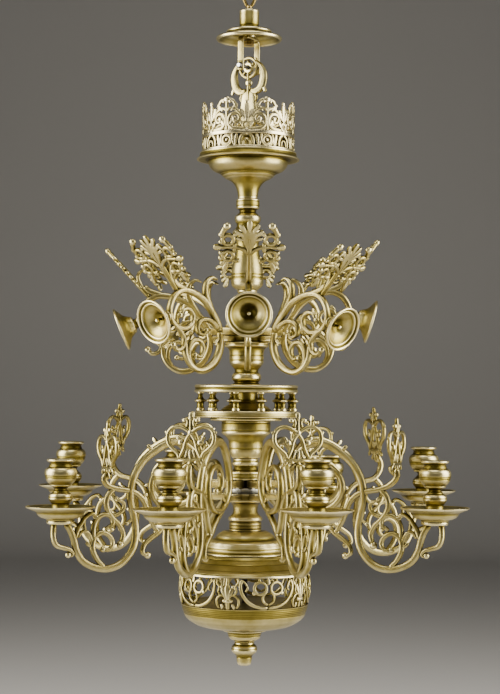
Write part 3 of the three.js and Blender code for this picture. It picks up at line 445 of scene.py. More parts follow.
canopyPath = [
    (boreRadius, -42.6), (13, -42.6), [(14.3, -43.1), (14.7, -44.6)], (14.7, -68.4), [(15, -70),
    (16.6, -71.1)], [(22.6, -71.5), (27.6, -72.6)], (28.8, -74), [(31, -72.7), (33.6, -73.8),
    (34.3, -76.4), (33, -78.8)], (33.8, -79.6), [(38, -80.2), (42.2, -81.4), (44.2, -82.6)], (44.8, -83.8),
    [(47, -82.9), (49.2, -84.4), (49.5, -87), (48.2, -88.8)], (46.4, -89), [(43.5, -86.2), (38.5, -82)],
    [(34, -79.6), (29, -76.2)], (10.4, -75.8), (9.4, -83.8), (boreRadius, -83.8), (boreRadius, -42.6),
]
canopyForm = lathe(canopyPath, 112, [(14.7, -66.4)], 0.5, softness=0.6)
addPiece("canopy", makeMesh("canopy", [canopyForm]), turnedBrass, "suspension")

shackleShape = {"spacing": 46, "width": 9, "thickness": 4, "bend": 5, "bridgeWidth": 16}


# The shackle: a flat bar carried up one side, over the top and down the other, with a wider bridge on top
# and a thicker stretch round each end of the bolt.
def shackle():
    s = shackleShape
    half, top = s["spacing"] / 2, topOf("shackle") - s["thickness"] / 2
    foot, bend = bottomOf("shackle"), s["bend"]
    right = [(half, foot), (half, (foot + top) / 2), (half, top - bend),
             (half - 0.3 * bend, top - 0.3 * bend), (half - bend, top)]
    left = [(-x, z) for x, z in right]
    strap = bar([*left, (0, top), *right[::-1]], [s["thickness"]] * 2, s["width"], 5, 20, 1.2)
    across = [(-half + 6, top), (0, top), (half - 6, top)]
    bridge = bar(across, [s["thickness"]] * 2, s["bridgeWidth"], 6, 20, 1.5)
    eyes = []
    for x in (-half, half):
        upright = [(x, boltHeight - 8), (x, boltHeight), (x, boltHeight + 9)]
        eyes.append(bar(upright, [s["thickness"] + 0.8] * 2, 11, 3, 16))
    mesh = makeMesh("shackle", [laid(form, (0, 2, 1)) for form in [strap, bridge, *eyes]], 50)
    mesh.transform(Matrix.Rotation(math.radians(shackleTurn), 4, "Z"))
    return mesh


addPiece("shackle", shackle(), castBrass, "shackle")

boltShape = {"radius": 3, "headRadius": 5, "outer": 25.4, "headLength": 4}


# The bolt: a turned shank, a domed head and a six-sided nut. Their axis is laid along X and then turned.
def shackleBolt():
    b = boltShape
    r, head, outer, end = b["radius"], b["headRadius"], b["outer"], b["outer"] + b["headLength"]
    shank = lathe([(0, end), (r, end), (r, -end), (0, -end)], 24, softness=0.5)
    knob = lathe([(0, -end), [(2.6, -end + 0.2), (head - 0.6, -outer - 2.2), (head, -outer - 0.9)],
                  (head - 0.5, -outer), (0, -outer)], 32, softness=0.5)
    nut = lathe([(0, outer), (head - 0.7, outer), (head, outer + 0.8), (head, end - 1), (head - 0.8, end),
                 (0, end)], 6, softness=0.4)
    forms = [laid(form, (1, 2, 0), (0, 0, boltHeight)) for form in (shank, knob, nut)]
    mesh = makeMesh("shackle_bolt", forms, 38)
    mesh.transform(Matrix.Rotation(math.radians(shackleTurn), 4, "Z"))
    return mesh


addPiece("shackle_bolt", shackleBolt(), boltSteel, "shackle")

hangerShape = {"thickness": 5, "ring": 14.8, "footBelow": 152.8, "lobe": 25.6}


# The hanger: a ring on an upright bar, with a crescent, its ridge and its leaves on either side, all in one
# plane. Its foot is a turned block, and its bore a turned boss across the plane.
def hanger():
    h = hangerShape
    foot, t = -h["footBelow"], h["thickness"]
    crescent = [(3, -34), (12, -36), (21, -31), (h["lobe"] - 0.6, -21), (h["lobe"], -9), (20.5, 2), (12, 9.5)]
    ridge = [(x * 0.98 - 0.4, y * 0.97 - 0.5) for x, y in crescent[1:6]]
    side = [
        bar(crescent, [7, 11, 13, 13, 11, 8, 4], t, 2.6, 14, 1.4),
        bar(ridge, [1.4, 2, 2, 2, 1.4], t + 1.5, 2.2, 8, 1.4),
        petal((25, -28), (30, -39), 6.5, t * 0.9), petal((15, 6), (11, 15), 6, t * 0.9),
        bar([(10, -39), (14, -45), (12, -52)], [6, 4.5, 2.6], t * 0.8, 2.4, 10, 1.4),
    ]
    middle = [
        bar([(0, foot), (0, -90), (0, -62), (0, -46), (0, -33)], [21, 22, 22.5, 29, 22], t, 4, 18, 2),
        bar([(0, foot + 14), (0, -90), (0, -30), (0, 12)], [5, 5, 5, 5], t + 1.6, 2.4, 12, 2),
        loop((0, 0), h["ring"], 4.5, t, 2.8, 14), bead((0, -23), (6, 6, 4.4)),
        bar([(-11, -11), (0, -2), (11, 7)], [4, 4], t, 2.4, 12, 1.6),
    ]
    blockPath = [(0, foot + 14), (8.5, foot + 14), (10, foot + 12.5), (10, foot), (0, foot)]
    block = lathe(blockPath, 40, softness=0.5)
    bossPath = [(3.8, 3.4), (7.2, 3.4), (8, 2.6), (8, -2.6), (7.2, -3.4), (3.8, -3.4), (3.8, 3.4)]
    boss = lathe(bossPath, 36, softness=0.4)
    flat = [laid(form, (0, 2, 1)) for form in [*bothSides(side), *middle, boss]]
    mesh = makeMesh("hanger", [*flat, block], 50)
    turn = Matrix.Rotation(math.radians(shackleTurn - 90), 4, "Z")
    mesh.transform(Matrix.Translation((0, 0, boltHeight / 1000)) @ turn)
    return mesh


addPiece("hanger", hanger(), castBrass)
print("suspension made")

# Crown: openwork bent round a ring and standing on a dish

crownShape = {"radius": 68.2, "repeats": 7, "depth": 2.8, "midRing": (20, 25.4), "footRing": (0, 2.4)}


# Bends a flat form round the stem: its first coordinate runs round, its second up and its third outward.
# The radius may be a number or a function of height.
def wrapped(form, radius, turn=0.0, lift=0.0):
    s, v, n = form[0].T
    r = (radius(v) if callable(radius) else radius) + n
    reference = radius(np.zeros(1))[0] if callable(radius) else radius
    angle = s / reference + math.radians(turn - 90)
    return (np.stack([r * np.cos(angle), r * np.sin(angle), v + lift], axis=1), *form[1:])


# The crown: half a repeat in the flat with its mirror image, then all of it bent round the stem as often as
# it repeats; a turned ring runs round its foot and another round its middle.
def crownBand():
    c = crownShape
    d, pitch = c["depth"], 2 * math.pi * c["radius"] / c["repeats"]
    edge = pitch / 2
    wire = (2.6, 12, 1.5)  # how square a bar's section is, its points and the step along it
    spiral = [(4, 26.4), (13, 27), (22, 28.6), (27.4, 34), (27.4, 42.6), (22, 49), (14, 48.6), (10.6, 43),
              (13, 37.6), (18.6, 37.6), (20, 42)]
    side = [
        bar(spiral, [5, 5.4, 5.4, 5.2, 5, 4.6, 4], d, *wire),
        bead((18.8, 42), (3.8, 3.8, d * 0.65)),
        bar([(edge, 53.6), (26, 57), (18, 56), (11, 50.6), (7, 43)], [4.4, 4.6, 4.2], d, *wire),
        bar([(edge, 67), (27, 70), (21, 68.4), (17, 62.6), (16, 55)], [5, 4.8, 4.2], d, *wire),
        petal((24, 53), (13.6, 63.6), 7, d * 1.15), petal((28, 30), (20, 40), 6, d),
        petal((2, 40), (10, 56), 8, d * 1.2), petal((4, 28.6), (9.4, 38.6), 6, d),
        bar([(9, 1.6), (9.6, 9.6), (6.4, 17), (0, 20.4)], [4.4, 4.6, 4.6], d, *wire),
        bar([(4.2, 1.6), (4.4, 7.6), (0, 13)], [2.8, 2.8, 2.8], d, 2.6, 10, 1.5),
        petal((17.4, 0.6), (14.6, 20), 5.4, d * 1.15), petal((18.4, 0.6), (21.6, 19), 5.4, d * 1.15),
        bar([(edge - 8.4, 20.4), (edge - 9.4, 11), (edge - 5, 3.6), (edge, 1.4)], [4, 4, 4], d, 2.6, 10, 1.5),
    ]
    centre = [
        petal((0, 33), (0, 67), 9.4, d * 1.35), loop((0, 32), 5, 3.8, d), bead((0, 24.6), (4.4, 3, 2)),
        bead((0, 66), (3, 3.6, 1.9)),
        bar([(edge, 24), (edge, 46), (edge, 69)], [4.8, 4.4, 4.8], d, 2.6, 12, 2),
        bead((edge, 70.8), (5.6, 4.2, 2.2)), bead((edge - 5.4, 67.6), (3, 2.8, 2)),
        bead((edge + 5.4, 67.6), (3, 2.8, 2)),
        loop((edge, 11), 6.4, 4.2, d), bead((edge, 11), (2.6, 2.6, 1.6)),
    ]
    repeat = bothSides(side) + centre
    turns = [360 / c["repeats"] * k - 2 for k in range(c["repeats"])]
    forms = [wrapped(form, c["radius"], turn) for turn in turns for form in repeat]
    inner, outer = c["radius"] - d / 2, c["radius"] + d / 2
    for low, high in (c["footRing"], c["midRing"]):
        swell = [(outer + 0.3, (low + high) / 2), (outer, low)]
        ring = [(inner, high), (outer, high), swell, (inner, low), (inner, high)]
        forms.append(lathe(ring, 128, softness=0.5))
    forms = [(np.asarray(form[0]) + [0, 0, crownSeat + seatGap], *form[1:]) for form in forms]
    return makeMesh("crown_band", forms, 50)


addPiece("crown_band", crownBand(), piercedBrass)

dishPath = [
    (64.5, 0), (71.6, 0), [(72.6, -0.7), (72.8, -2)], (72.9, -4.4), [(73.6, -6.4), (75.4, -8.4),
    (77.6, -10)], (77, -11.2), (62.4, -10.4), [(60.4, -11.6), (60, -15), (58, -21), (52, -27),
    (43.4, -30.4)], (42.6, -31.8), (40.2, -32.4), [(38.8, -35), (35.8, -36.8)], (34.4, -38.4),
    [(30, -40.2), (26, -42.4)], [(22, -46), (18.4, -51.5), (16, -58), (14.8, -66)], (14.5, -69.5),
    (boreRadius, -69.5), (boreRadius, -24), (44, -24), [(52, -20), (55.5, -10)], [(58.5, -4), (64.5, 0)],
]
dishForm = lathe(dishPath, 144, [(72.9, -3.2), (42.8, -31.2)], 0.6, lift=crownSeat, softness=0.5)
addPiece("crown_dish", makeMesh("crown_dish", [dishForm]), turnedBrass)
print("crown made")

# Stem: each outline is measured from the top of its own node

stemPaths = {
    "upper_vase": [
        (boreRadius, 0), (16.8, 0), (17.7, -1), (17.7, -13), (16.8, -14.6), [(13, -16.4), (12.4, -18.6),
        (13, -21), (15.6, -22.2)], (16, -23.6), [(18.8, -25.6), (19.8, -29.6), (18.8, -33.6),
        (16.8, -36.6)], (16.2, -38), [(16.4, -40.6), (18.4, -44.4), (22.2, -47.4)], [(22.7, -49.6),
        (22.2, -52.6)], [(20.4, -54.4), (19.4, -58)], [(17.5, -64), (17.1, -73), (18.2, -84), (21.2, -95),
        (23.4, -105), (24, -114), (23.8, -121)], [(24.5, -122.4), (24.3, -124.6)], [(23.2, -129.6),
        (20, -133.4), (16, -136.4)], (boreRadius, -136.4)],
    "upper_cap": [
        (boreRadius, 0), (14.4, 0), [(15.2, -1.2), (15, -3)], [(13.2, -5), (12.6, -12), (13.2, -22),
        (14.4, -31)], [(16, -32.4), (16, -34.6)], [(17, -40), (21, -46), (27, -50.4), (31.6, -52.8)],
        [(33, -54.4), (33, -56.4)], (32, -57.4), (boreRadius, -57.4)],
    "upper_hub": [
        (boreRadius, 0), (27.4, 0), (28.2, -0.8), (28.2, -9.2), (31.4, -10), [(33, -11.4), (33, -14.6),
        (31.6, -16.6)], [(28, -18.6), (26, -22)], (25.5, -24.6), (25.5, -39), [(24.4, -42.4),
        (20.6, -47.4), (17.8, -50.4)], (17.6, -54.6), [(20, -56.8), (21.6, -59.4), (22.2, -62.4),
        (21.4, -65.6), (19, -68)], (17.8, -69.6), [(19.4, -71.6), (23, -73.4)], [(24, -75), (24, -78.2)],
        (boreRadius, -78.2)],
    "gallery_plate": [
        (boreRadius, 0), (23, 0), [(24, -0.9), (23.4, -2.6)], [(17.4, -4), (15.4, -7)], [(14.2, -13),
        (14.4, -19)], [(16.2, -20), (16.6, -22)], [(24, -23.6), (31, -27), (36.6, -31.4)], (38.2, -33.8),
        (75.4, -33.8), (76.7, -35), [(76.2, -37.4), (76.7, -39.6)], [(76.7, -42.6), (75.4, -43.8)],
        (71, -43.8), (70.4, -42), (54.4, -42.6), (53.5, -44), [(53.5, -47.4), (52.2, -48.4)],
        (boreRadius, -48.4)],
    "lower_cup": [
        (boreRadius, 0), (36, 0), (36.8, -0.8), (36.6, -17.6), (36.2, -19.2), (35, -20), [(31, -23),
        (27.8, -27), (26.4, -29.6)], (25.8, -30.4), (25.3, -44), [(24.6, -48), (22.6, -52.4),
        (20.2, -55.9)], (boreRadius, -55.9)],
    "lower_cap": [
        (boreRadius, 0), (18, 0), (18.8, -1), (18.6, -4), [(20, -5.6), (20.4, -7.8), (19.4, -10.6)],
        [(18, -12.4), (18.4, -16.4)], [(21, -18.6), (25, -19.6)], (25.8, -20.8), (25.8, -31.2),
        (25, -31.9), (boreRadius, -31.9)],
    "lower_hub": [
        (boreRadius, 0), (23.8, 0), (24.5, -0.8), (24.5, -7), [(25.2, -8.4), (27, -8.8)], (27.6, -9.6),
        (27.6, -20), (26.6, -21.2), [(22, -23), (19.2, -27.4), (18, -34)], [(19, -38.4), (22.4, -42.4),
        (25, -44.6)], [(25.6, -46.6), (25.2, -49)], [(23.4, -50.4), (23.4, -51.6)], (24.2, -53),
        (24, -64.4), (boreRadius, -64.4)],
    "globe_cap": [
        (boreRadius, 0), (31.6, 0), [(33.6, -0.8), (38.6, -3.6), (42.6, -7.4), (44.4, -10.4)],
        [(46, -11.8), (50.6, -13)], [(54.6, -14), (57.4, -16.4), (58.4, -19.6)], [(59.3, -22.4),
        (59.2, -26.6), (58.2, -30)], [(57.4, -31.4), (59.2, -33)], (59.2, -34.4), (55.3, -34.4),
        [(55, -22), (38, -14), (boreRadius, -5)], (boreRadius, 0)],
    "pendant_cup": [
        (boreRadius, 0), (32.4, 0), (33, -0.9), (32.2, -1.8), (26, -2.6), [(25.2, -6), (23.6, -11),
        (21, -14.2)], [(17.6, -15.4), (15.4, -16.2)], (14.9, -18.4), (boreRadius, -18.4)],
    "finial": [
        (0, 0), (14.4, 0), (15, -0.8), (14.8, -3), [(18, -5.4), (19.5, -9.8), (18.4, -13.8),
        (14.4, -17.6)], (12.4, -19.4), [(12, -22), (10.8, -28.6), (10.4, -31)], [(9.6, -33), (7.2, -34.3)],
        (0, -34.3)],
}
stemGrooves = {
    "upper_vase": [(17.7, -3), (17.7, -10.6), (23.9, -114), (23.9, -118)],
    "upper_cap": [(16.6, -38), (33, -55.4)],
    "upper_hub": [(33, -13), (25.5, -29.6), (25.5, -36.6), (24, -76.4)],
    "gallery_plate": [(68, -33.8), (76.4, -41)],
    "lower_cup": [(36.7, -3), (36.6, -15), (25.4, -41.6)],
    "lower_cap": [(25.8, -23), (25.8, -29)],
    "lower_hub": [(24, -56), (24, -61.4)],
    "globe_cap": [(47.6, -12.4), (59.2, -24.6)],
    "pendant_cup": [(24.6, -8.4)],
    "finial": [(19.4, -9), (12, -22)],
}
tinnedRing = {"node": "lower_hub", "from": -9.4, "to": -1.4}  # heights below the hub's top


# Faces whose middles lie between the two heights take the second material.
def tinned(piece, low, high):
    mesh = piece.data
    centres = np.empty(3 * len(mesh.polygons), dtype=np.float32)
    mesh.polygons.foreach_get("center", centres)
    heights = centres[2::3] * 1000
    mesh.materials.append(tinnedBrass)
    mesh.polygons.foreach_set("material_index", ((heights > low) & (heights < high)).astype(np.int32))


# Every piece of the stem is its outline carried round the axis, hung from the top of its node.
def stemPieces():
    for node, path in stemPaths.items():
        sides = 144 if node in ("gallery_plate", "globe_cap") else 96
        form = lathe(path, sides, stemGrooves[node], 0.5, lift=topOf(node))
        if node == tinnedRing["node"]:
            # The lower hub takes the darker copy of the brass, which is painted shade, and its ring takes the
            # tinned brass
            hub = addPiece(node, makeMesh(node, [form]), shadedHubBrass)
            tinned(hub, topOf(node) + tinnedRing["from"], topOf(node) + tinnedRing["to"])
        else:
            addPiece(node, makeMesh(node, [form]), turnedBrass)


stemPieces()

galleryShape = {"outer": 77.7, "inner": 66.7, "height": 10.8, "balusters": 12, "circle": 71.2, "first": 18}


# The rail: a turned ring, and balusters turned about their own axes on a circle below it.
def galleryRail():
    g = galleryShape
    inner, outer, top = g["inner"], g["outer"], g["height"]
    base = bottomOf("gallery_rail") + 27.5
    rail = [(inner, top - 0.8), (inner + 0.8, top), (outer - 1.6, top),
            [(outer - 0.2, top - 0.8), (outer, top - 2.4)], [(outer - 0.9, top - 4), (outer - 0.9, 4)],
            [(outer, 2.4), (outer - 0.2, 0.8)], (outer - 1.4, 0), (inner + 0.8, 0), (inner, 0.8),
            (inner, top - 0.8)]
    baluster = [(0, 0.6), (4.8, 0.6), (4.9, -1.6), [(3.2, -3), (3, -6), (4.6, -9.6)], (8.2, -11.8),
                [(8.7, -12.6), (8.2, -13.4)], [(5, -15.2), (4.7, -18), (4.6, -22.4)], (6, -23.8), (6, -27.4),
                (0, -27.4)]
    forms = [lathe(rail, 144, [(outer - 0.9, 5.4)], 0.5, lift=base)]
    for k in range(g["balusters"]):
        turn = math.radians(g["first"] + 360 / g["balusters"] * k)
        place = (g["circle"] * math.cos(turn), g["circle"] * math.sin(turn))
        forms.append(lathe(baluster, 24, centre=place, lift=base, softness=0.7))
    return makeMesh("gallery_rail", forms)


addPiece("gallery_rail", galleryRail(), turnedBrass)
print("stem made")

# Globe: a turned bowl and shoulder joined by a band of openwork that follows its swell

globeShape = {"bandTop": -27.5, "bandBottom": -72.5, "repeats": 5, "firstMedallion": 21, "depth": 4}
globeSide = [(59.6, -0.1), (66, -6.2), (74.8, -12.3), (83, -16.8), (91.4, -21), (94.8, -24), (96, -27.5),
             (97.6, -34.5), (98.5, -43.5), (98.2, -53.5), (96.8, -63.5), (94.8, -72.5), (94, -77.5),
             (92.6, -82.5), (90, -89.1), (87, -93.9), (80, -99.5), (71, -104.3), (56, -108.1), (38.5, -110.5),
             (20, -111.8)]


# The openwork's radius at a height above the band's foot: that of the globe's side there, less 1.8.
def globeRadiusAt(v):
    z = np.array([point[1] for point in globeSide])[::-1]
    r = np.array([point[0] for point in globeSide])[::-1]
    return np.interp(v + globeShape["bandBottom"], z, r) - 1.8


# The globe: a turned shoulder and bowl with their insides, and between them half a medallion in the flat
# with its mirror image, bent round the swell as often as it repeats.
def globe():
    g = globeShape
    d, wall = g["depth"], 4
    wire = (2.6, 10, 1.6)  # as in the crown
    top = [point for point in globeSide if point[1] >= g["bandTop"]]
    low = [point for point in globeSide if point[1] <= g["bandBottom"]]
    inside = [(r - wall, z - 0.5) for r, z in top]
    shoulder = [top[0], top[1], top[2:5], top[5:], inside[-1], inside[-2::-1], top[0]]
    insideLow = [(max(r - wall, 5), z + (1 if r > 80 else 3.6)) for r, z in low]
    bowl = [low[0], low[1:4], low[4:6], low[6:], (boreRadius, -111.9), (boreRadius, -107.9), insideLow[-1],
            insideLow[-2::-1], low[0]]
    shoulderGrooves = [(64, -4.4), (73, -11), (86, -18.4), (94, -23.2)]
    bowlGrooves = [(94.5, -75), (94, -77.6), (93.4, -80.2), (92.6, -82.8), (91.6, -85.4)]
    reference = float(globeRadiusAt(np.zeros(1))[0])
    edge = math.pi * reference / g["repeats"]
    cup = [(38, 44), (40, 34), (37, 22), (28, 10), (14, 3.4), (0, 2)]
    hookOver = [(46, 1), (42.6, 8), (43.5, 16), (50, 21), (55.5, 18), (54.5, 12.5)]
    side = [
        bar(cup, [4.6, 4.6, 5, 5, 4.6], d, 2.6, 12, 1.8),
        bar([(38.5, 43), (33, 38), (30, 31), (33.5, 26)], [3.4, 3, 2.6], d, *wire),
        loop((12, 31), 8.8, 4, d), bead((21, 24), (3, 3, 2)),
        bar([(2, 27), (8, 20), (7.5, 12), (0, 6.4)], [3.6, 3.8, 3.8], d, *wire),
        bar([(12, 40), (14, 46)], [4, 4], d, *wire),
        bar(hookOver, [3.6, 3.6, 3.2, 2.8], d, *wire),
        bead((53.6, 12.6), (2.8, 2.8, 2)), petal((49, 0), (51, 8.5), 6.5, d),
        bar([(50, 20), (45.6, 26), (47, 33), (43, 39), (44, 46)], [3.2, 3.4, 3.4, 3.2], d, *wire),
        petal((edge - 1, 13), (edge - 8, 33), 7.5, d * 1.2), bead((edge - 8.4, 33), (2.8, 2.8, 2.2)),
    ]
    centre = [
        petal((edge, 12), (edge, 38), 9.5, d * 1.35), bar([(edge, -1), (edge, 15)], [6.5, 5], d, *wire),
        bar([(edge, 33), (edge, 47)], [4, 6], d, *wire), bead((edge, 12), (5, 3, 2.6)),
        petal((0, 47), (0, 36), 7, d * 1.1),
    ]
    forms = [lathe(shoulder, 160, shoulderGrooves, 0.5), lathe(bowl, 160, bowlGrooves, 0.55)]
    for k in range(g["repeats"]):
        turn = g["firstMedallion"] + 360 / g["repeats"] * k
        forms += [wrapped(form, globeRadiusAt, turn, g["bandBottom"]) for form in bothSides(side) + centre]
    forms = [(form[0] + [0, 0, topOf("globe")], *form[1:]) for form in forms]
    return makeMesh("globe", forms)


addPiece("globe", globe(), turnedBrass)
print("globe made")

# Lower tier: candle arms, pans and cups

candleArm = {"depth": 9.4, "lugEnd": 70, "panSeat": (295, -39), "palmetteAt": 222}
palmetteDepth = 6  # of the cast leaves of both tiers

# How square a bar's section is, how many points it has, and the step along the bar
heavy, lighter, leaf, thin = (2.5, 16, 2.2), (2.4, 14, 2.2), (2.4, 12, 1.6), (2.3, 12, 1.4)


# The lower palmette across the arm: two bars that cross and ring round, a trefoil on top and a collar below.
# Its first coordinate runs across the arm, its second up.
def lowerPalmette(shift):
    d = palmetteDepth
    heart = [(16, 46), (19, 54), (26, 60), (32.5, 67), (34.6, 76), (32.4, 84.5), (26, 90), (17, 91),
             (8.5, 88), (1, 82.5), (-4.5, 76), (-7.6, 69), (-9.6, 61), (-13, 53.5), (-17, 46)]
    side = [
        bar(heart, [5.8, 6, 6.2, 6, 5.8, 5.6, 5.6, 5.6, 5.8, 5.8], d, 2.3, 14, 1.5),
        bar([(7, 90), (4.6, 94.6), (4.6, 99), (7.6, 101.8), (9.4, 100)], [5.4, 5, 4.8, 4.4, 3.6], d, *thin),
        bar([(8, 60), (9.6, 66), (14, 68.6)], [4.8, 5, 5], d * 0.9, *thin),
        bead((14.4, 69.4), (5, 5, 4)), bead((9.4, 100), (3.8, 3.6, 3.4)), bead((9.5, 43), (5, 4.2, 3.2)),
        petal((14, 70), (21, 77.5), 6, d * 0.8), petal((13, 47), (23, 37), 7.4, d * 0.95),
        petal((3, 41), (12, 31), 7, d * 0.95), petal((8, 48), (3.4, 60), 5.4, d * 0.9),
        petal((33, 78), (38, 85), 4.4, d * 0.8),
    ]
    centre = [
        bar([(0, 80), (0, 103)], [5, 5], d, *leaf), petal((0, 98), (0, 112), 8, d * 1.1),
        bar([(-19, 45.4), (0, 44.6), (19, 45.4)], [6, 6.8, 6], d, 2.6, 12, 1.6),
        bar([(0, 46), (0, 30)], [9, 8.5], d, *leaf), petal((0, 44), (0, 60), 7.4, d),
        bead((0, 83), (5, 4.6, 3.8)),
    ]
    place = (candleArm["palmetteAt"] + shift[0], 0, shift[1])
    return [laid(form, (1, 2, 0), place) for form in bothSides(side) + centre]


# A candle arm in its upright plane, outward and up: every scroll is a bar along its line, with beads and
# petals at ends and forks. The lug, the tenon and the disc under the pan stay level; the rest is bent up.
def candleArmForms(lift, shift):
    d = candleArm["depth"]
    lugEnd, panSeat = candleArm["lugEnd"], candleArm["panSeat"]
    seat = panSeat[1] - seatGap
    main = [(66, 9), (70, 24), (77, 40), (88, 56), (101, 66), (116, 69.5), (133, 65), (149, 56), (165, 44),
            (178, 27), (185, 8), (187, -13), (182, -36), (179, -58), (182, -80), (193, -97), (209, -108),
            (228, -111), (248, -106), (262, -97), (271, -82), (275, -66), (281, -52), (288, seat - 4)]
    volute = [(68, 16), (70, -2), (80, -17), (97, -27), (116, -30), (136, -25), (150, -11), (154, 8),
              (147, 24), (131, 34), (114, 32), (103, 20), (104, 5), (114, -3), (123, -1)]
    branch = [(84, -18), (104, -32), (120, -42), (132, -51), (144, -63), (156, -71), (166, -80), (168, -91),
              (160, -95)]
    stem = [(222, 40), (228, 26), (223, 13), (211, 4), (195, 1), (180, -3), (168, -13), (161, -27),
            (155, -43), (145, -61)]
    stemBranch = [(212, 5), (221, -5), (224.7, -16), (222, -29), (214, -40), (204, -50), (198.5, -63),
                  (202, -75)]
    ringScroll = [(228, -110), (240, -96), (246, -81), (243, -66), (232, -59), (220, -64), (215, -75),
                  (221, -84), (230, -83)]
    hook = [(244, -72), (245, -54), (240, -40), (228, -33), (217, -37), (215, -47), (222, -53)]
    leafCurl = [(217, -36), (207.5, -34), (198.5, -27), (197, -19), (202, -14.5), (208, -12)]
    tie = [(246, -80), (249, -66), (255, -57), (263, -57), (269, -65)]
    link = [(258.6, -38), (258.6, -48), (256, -58)]
    curl = [(273, -66), (269, -54), (263, -44), (257, -36), (247, -31), (240, -36)]
    bracket = [(304.8, seat - 3), (305.5, -63), (301, -74), (291, -78), (281, -81.5), (276.5, -87),
               (281, -91)]
    lines = [
        bar(main, [11.5, 11.5, 12, 11.5, 11, 11, 10.5, 10.5, 10, 9], d, *heavy),
        bar(volute, [9, 9, 9, 8.8, 8.4, 8, 7.6, 7, 5.4], d, *lighter),
        bar(branch, [8.6, 8.4, 8, 7.6, 7, 5.4], d * 0.95, *lighter),
        bar(shiftedStart(stem, shift), [8.6, 8.6, 8.6, 8.4, 8, 6.6], d * 0.95, *lighter),
        bar(stemBranch, [8.4, 8.4, 8, 7.4, 6.4], d * 0.92, *lighter),
        bar(ringScroll, [8, 8, 7.8, 7.4, 6.8, 5.4], d * 0.95),
        bar(hook, [7.6, 7.6, 7.4, 6.8, 5.4], d * 0.92),
        bar(leafCurl, [6.6, 6.4, 6, 5.4, 4], d * 0.8, 2.4, 12, 1.8),
        bar(tie, [7, 6.6, 6, 5.4, 5], d * 0.8, 2.4, 12, 1.8),
        bar(link, [4, 4, 4], d * 0.6, 2.4, 10, 1.8),
        bar(curl, [7.4, 7.4, 7, 6.6, 5.4], d * 0.88),
        bar(bracket, [8.4, 8, 7.6, 7, 6.4, 5], d * 0.92),
    ]
    trims = [
        bead((123, -1), (5.4, 5.2, 4.4)), bead((160, -94.5), (5.2, 5, 4.2)),
        bead((203, -77.5), (5.8, 5.8, 4.4)), bead((230, -83), (4.8, 4.6, 4)),
        bead((283, -88.5), (4.5, 4.5, 4)), bead((240, -37), (4.6, 4.4, 3.8)),
        bead((145, -61), (5, 5, 4.2)), bead((192.4, -47.4), (3.2, 3.2, 3)),
        petal((183, -40), (192, -47), 6.6, 6), petal((216, -47), (226, -56), 7.6, 6.6),
        petal((221, -53), (213, -56), 6, 6), petal((150, 56), (160, 66), 7.4, 6.6),
        petal((104, 20), (113, 24), 6.4, 6), petal((86, -20), (96, -12), 6.8, 6),
        petal((64, 0), (74, -16), 8, 6), petal((205, -14), (212, -8), 6, 5.6),
        petal((170, -12), (160, -5), 6.4, 6), petal((247, -80), (256, -72), 6.4, 5.6),
        bar(shiftedStart([(228, 27), (221, 33), (222, 40)], shift), [7, 8, 8], 7, 2.5, 12, 1.8),
    ]
    plane = [laid(form, (0, 2, 1)) for form in lines + trims]
    moved = [bent(form, lugEnd, lift) for form in plane + lowerPalmette(shift)]
    lug = bar([(13.2, 5.7), (40, 5.7), (71, 5.7)], [11, 11, 11], 8, 7, 20, 3)
    tenon = bar([(21, -13.5), (50, -13.5), (80, -13.5)], [8, 8, 8], 8, 7, 20, 3)
    r, foot = bentPoint(panSeat, lugEnd, lift)
    foot -= seatGap
    discPath = [(0, foot), (19.4, foot), (20, foot - 0.7), (19.2, foot - 4.2), (17, foot - 5), (0, foot - 5)]
    disc = lathe(discPath, 48, centre=(r, 0), softness=0.5)
    return moved + [laid(form, (0, 2, 1)) for form in (lug, tenon)] + [disc]


# The pan and the cup are turned once and copied to every arm.
panPath = [
    (3.9, 7), (15, 7), [(21, 7.1), (26, 7.6), (30, 9.4), (33, 12.4), (35, 14.6)], [(38, 15.9), (43, 17.6),
    (47, 19.1), (48.8, 20.1)], [(49.7, 20.4), (50, 19.5)], [(49, 18.2), (47, 17.2)], [(42, 15.2),
    (37, 13.2), (35, 12.2)], [(33.6, 9.4), (31, 6.4), (27, 3.9), (22.4, 2.6)], (20.4, 2.2), [(20, 1.4),
    (20, 0.3)], (19, 0), (3.9, 0), (3.9, 7),
]
cupPath = [
    (0, 42), (10.4, 42), (11.2, 43), (11.2, 78.4), [(12.4, 79.9), (18.6, 79.9), (20.4, 79)], [(20.4, 77.8),
    (18.2, 76)], [(16.2, 74), (15.9, 71.4)], [(17, 70.6), (17, 69.4)], (16.6, 68.8), [(20.8, 66.6),
    (22.8, 62.8), (23, 58.6), (22.2, 53.4), (19.4, 47.6), (15.6, 43.6)], [(15.8, 42), (14.6, 41.2)],
    [(10.4, 39.6), (9, 37.4), (9.9, 35)], [(11.6, 34.2), (11.6, 32.8)], [(15.4, 30.6), (17.3, 26.6),
    (16.8, 22.4), (14.2, 18)], [(12.6, 16.8), (12.4, 14.6)], [(12.8, 9.4), (14.8, 4.4), (17, 2)], (17, 0),
    (0, 0),
]
panMesh = makeMesh("drip_pan", [lathe(panPath, 80, [(47, 19.1), (36.6, 15.3)], 0.45)])
cupMesh = makeMesh("candle_cup", [lathe(cupPath, 64, [(22.7, 55.6), (22, 53), (17.2, 25.6)], 0.45)])

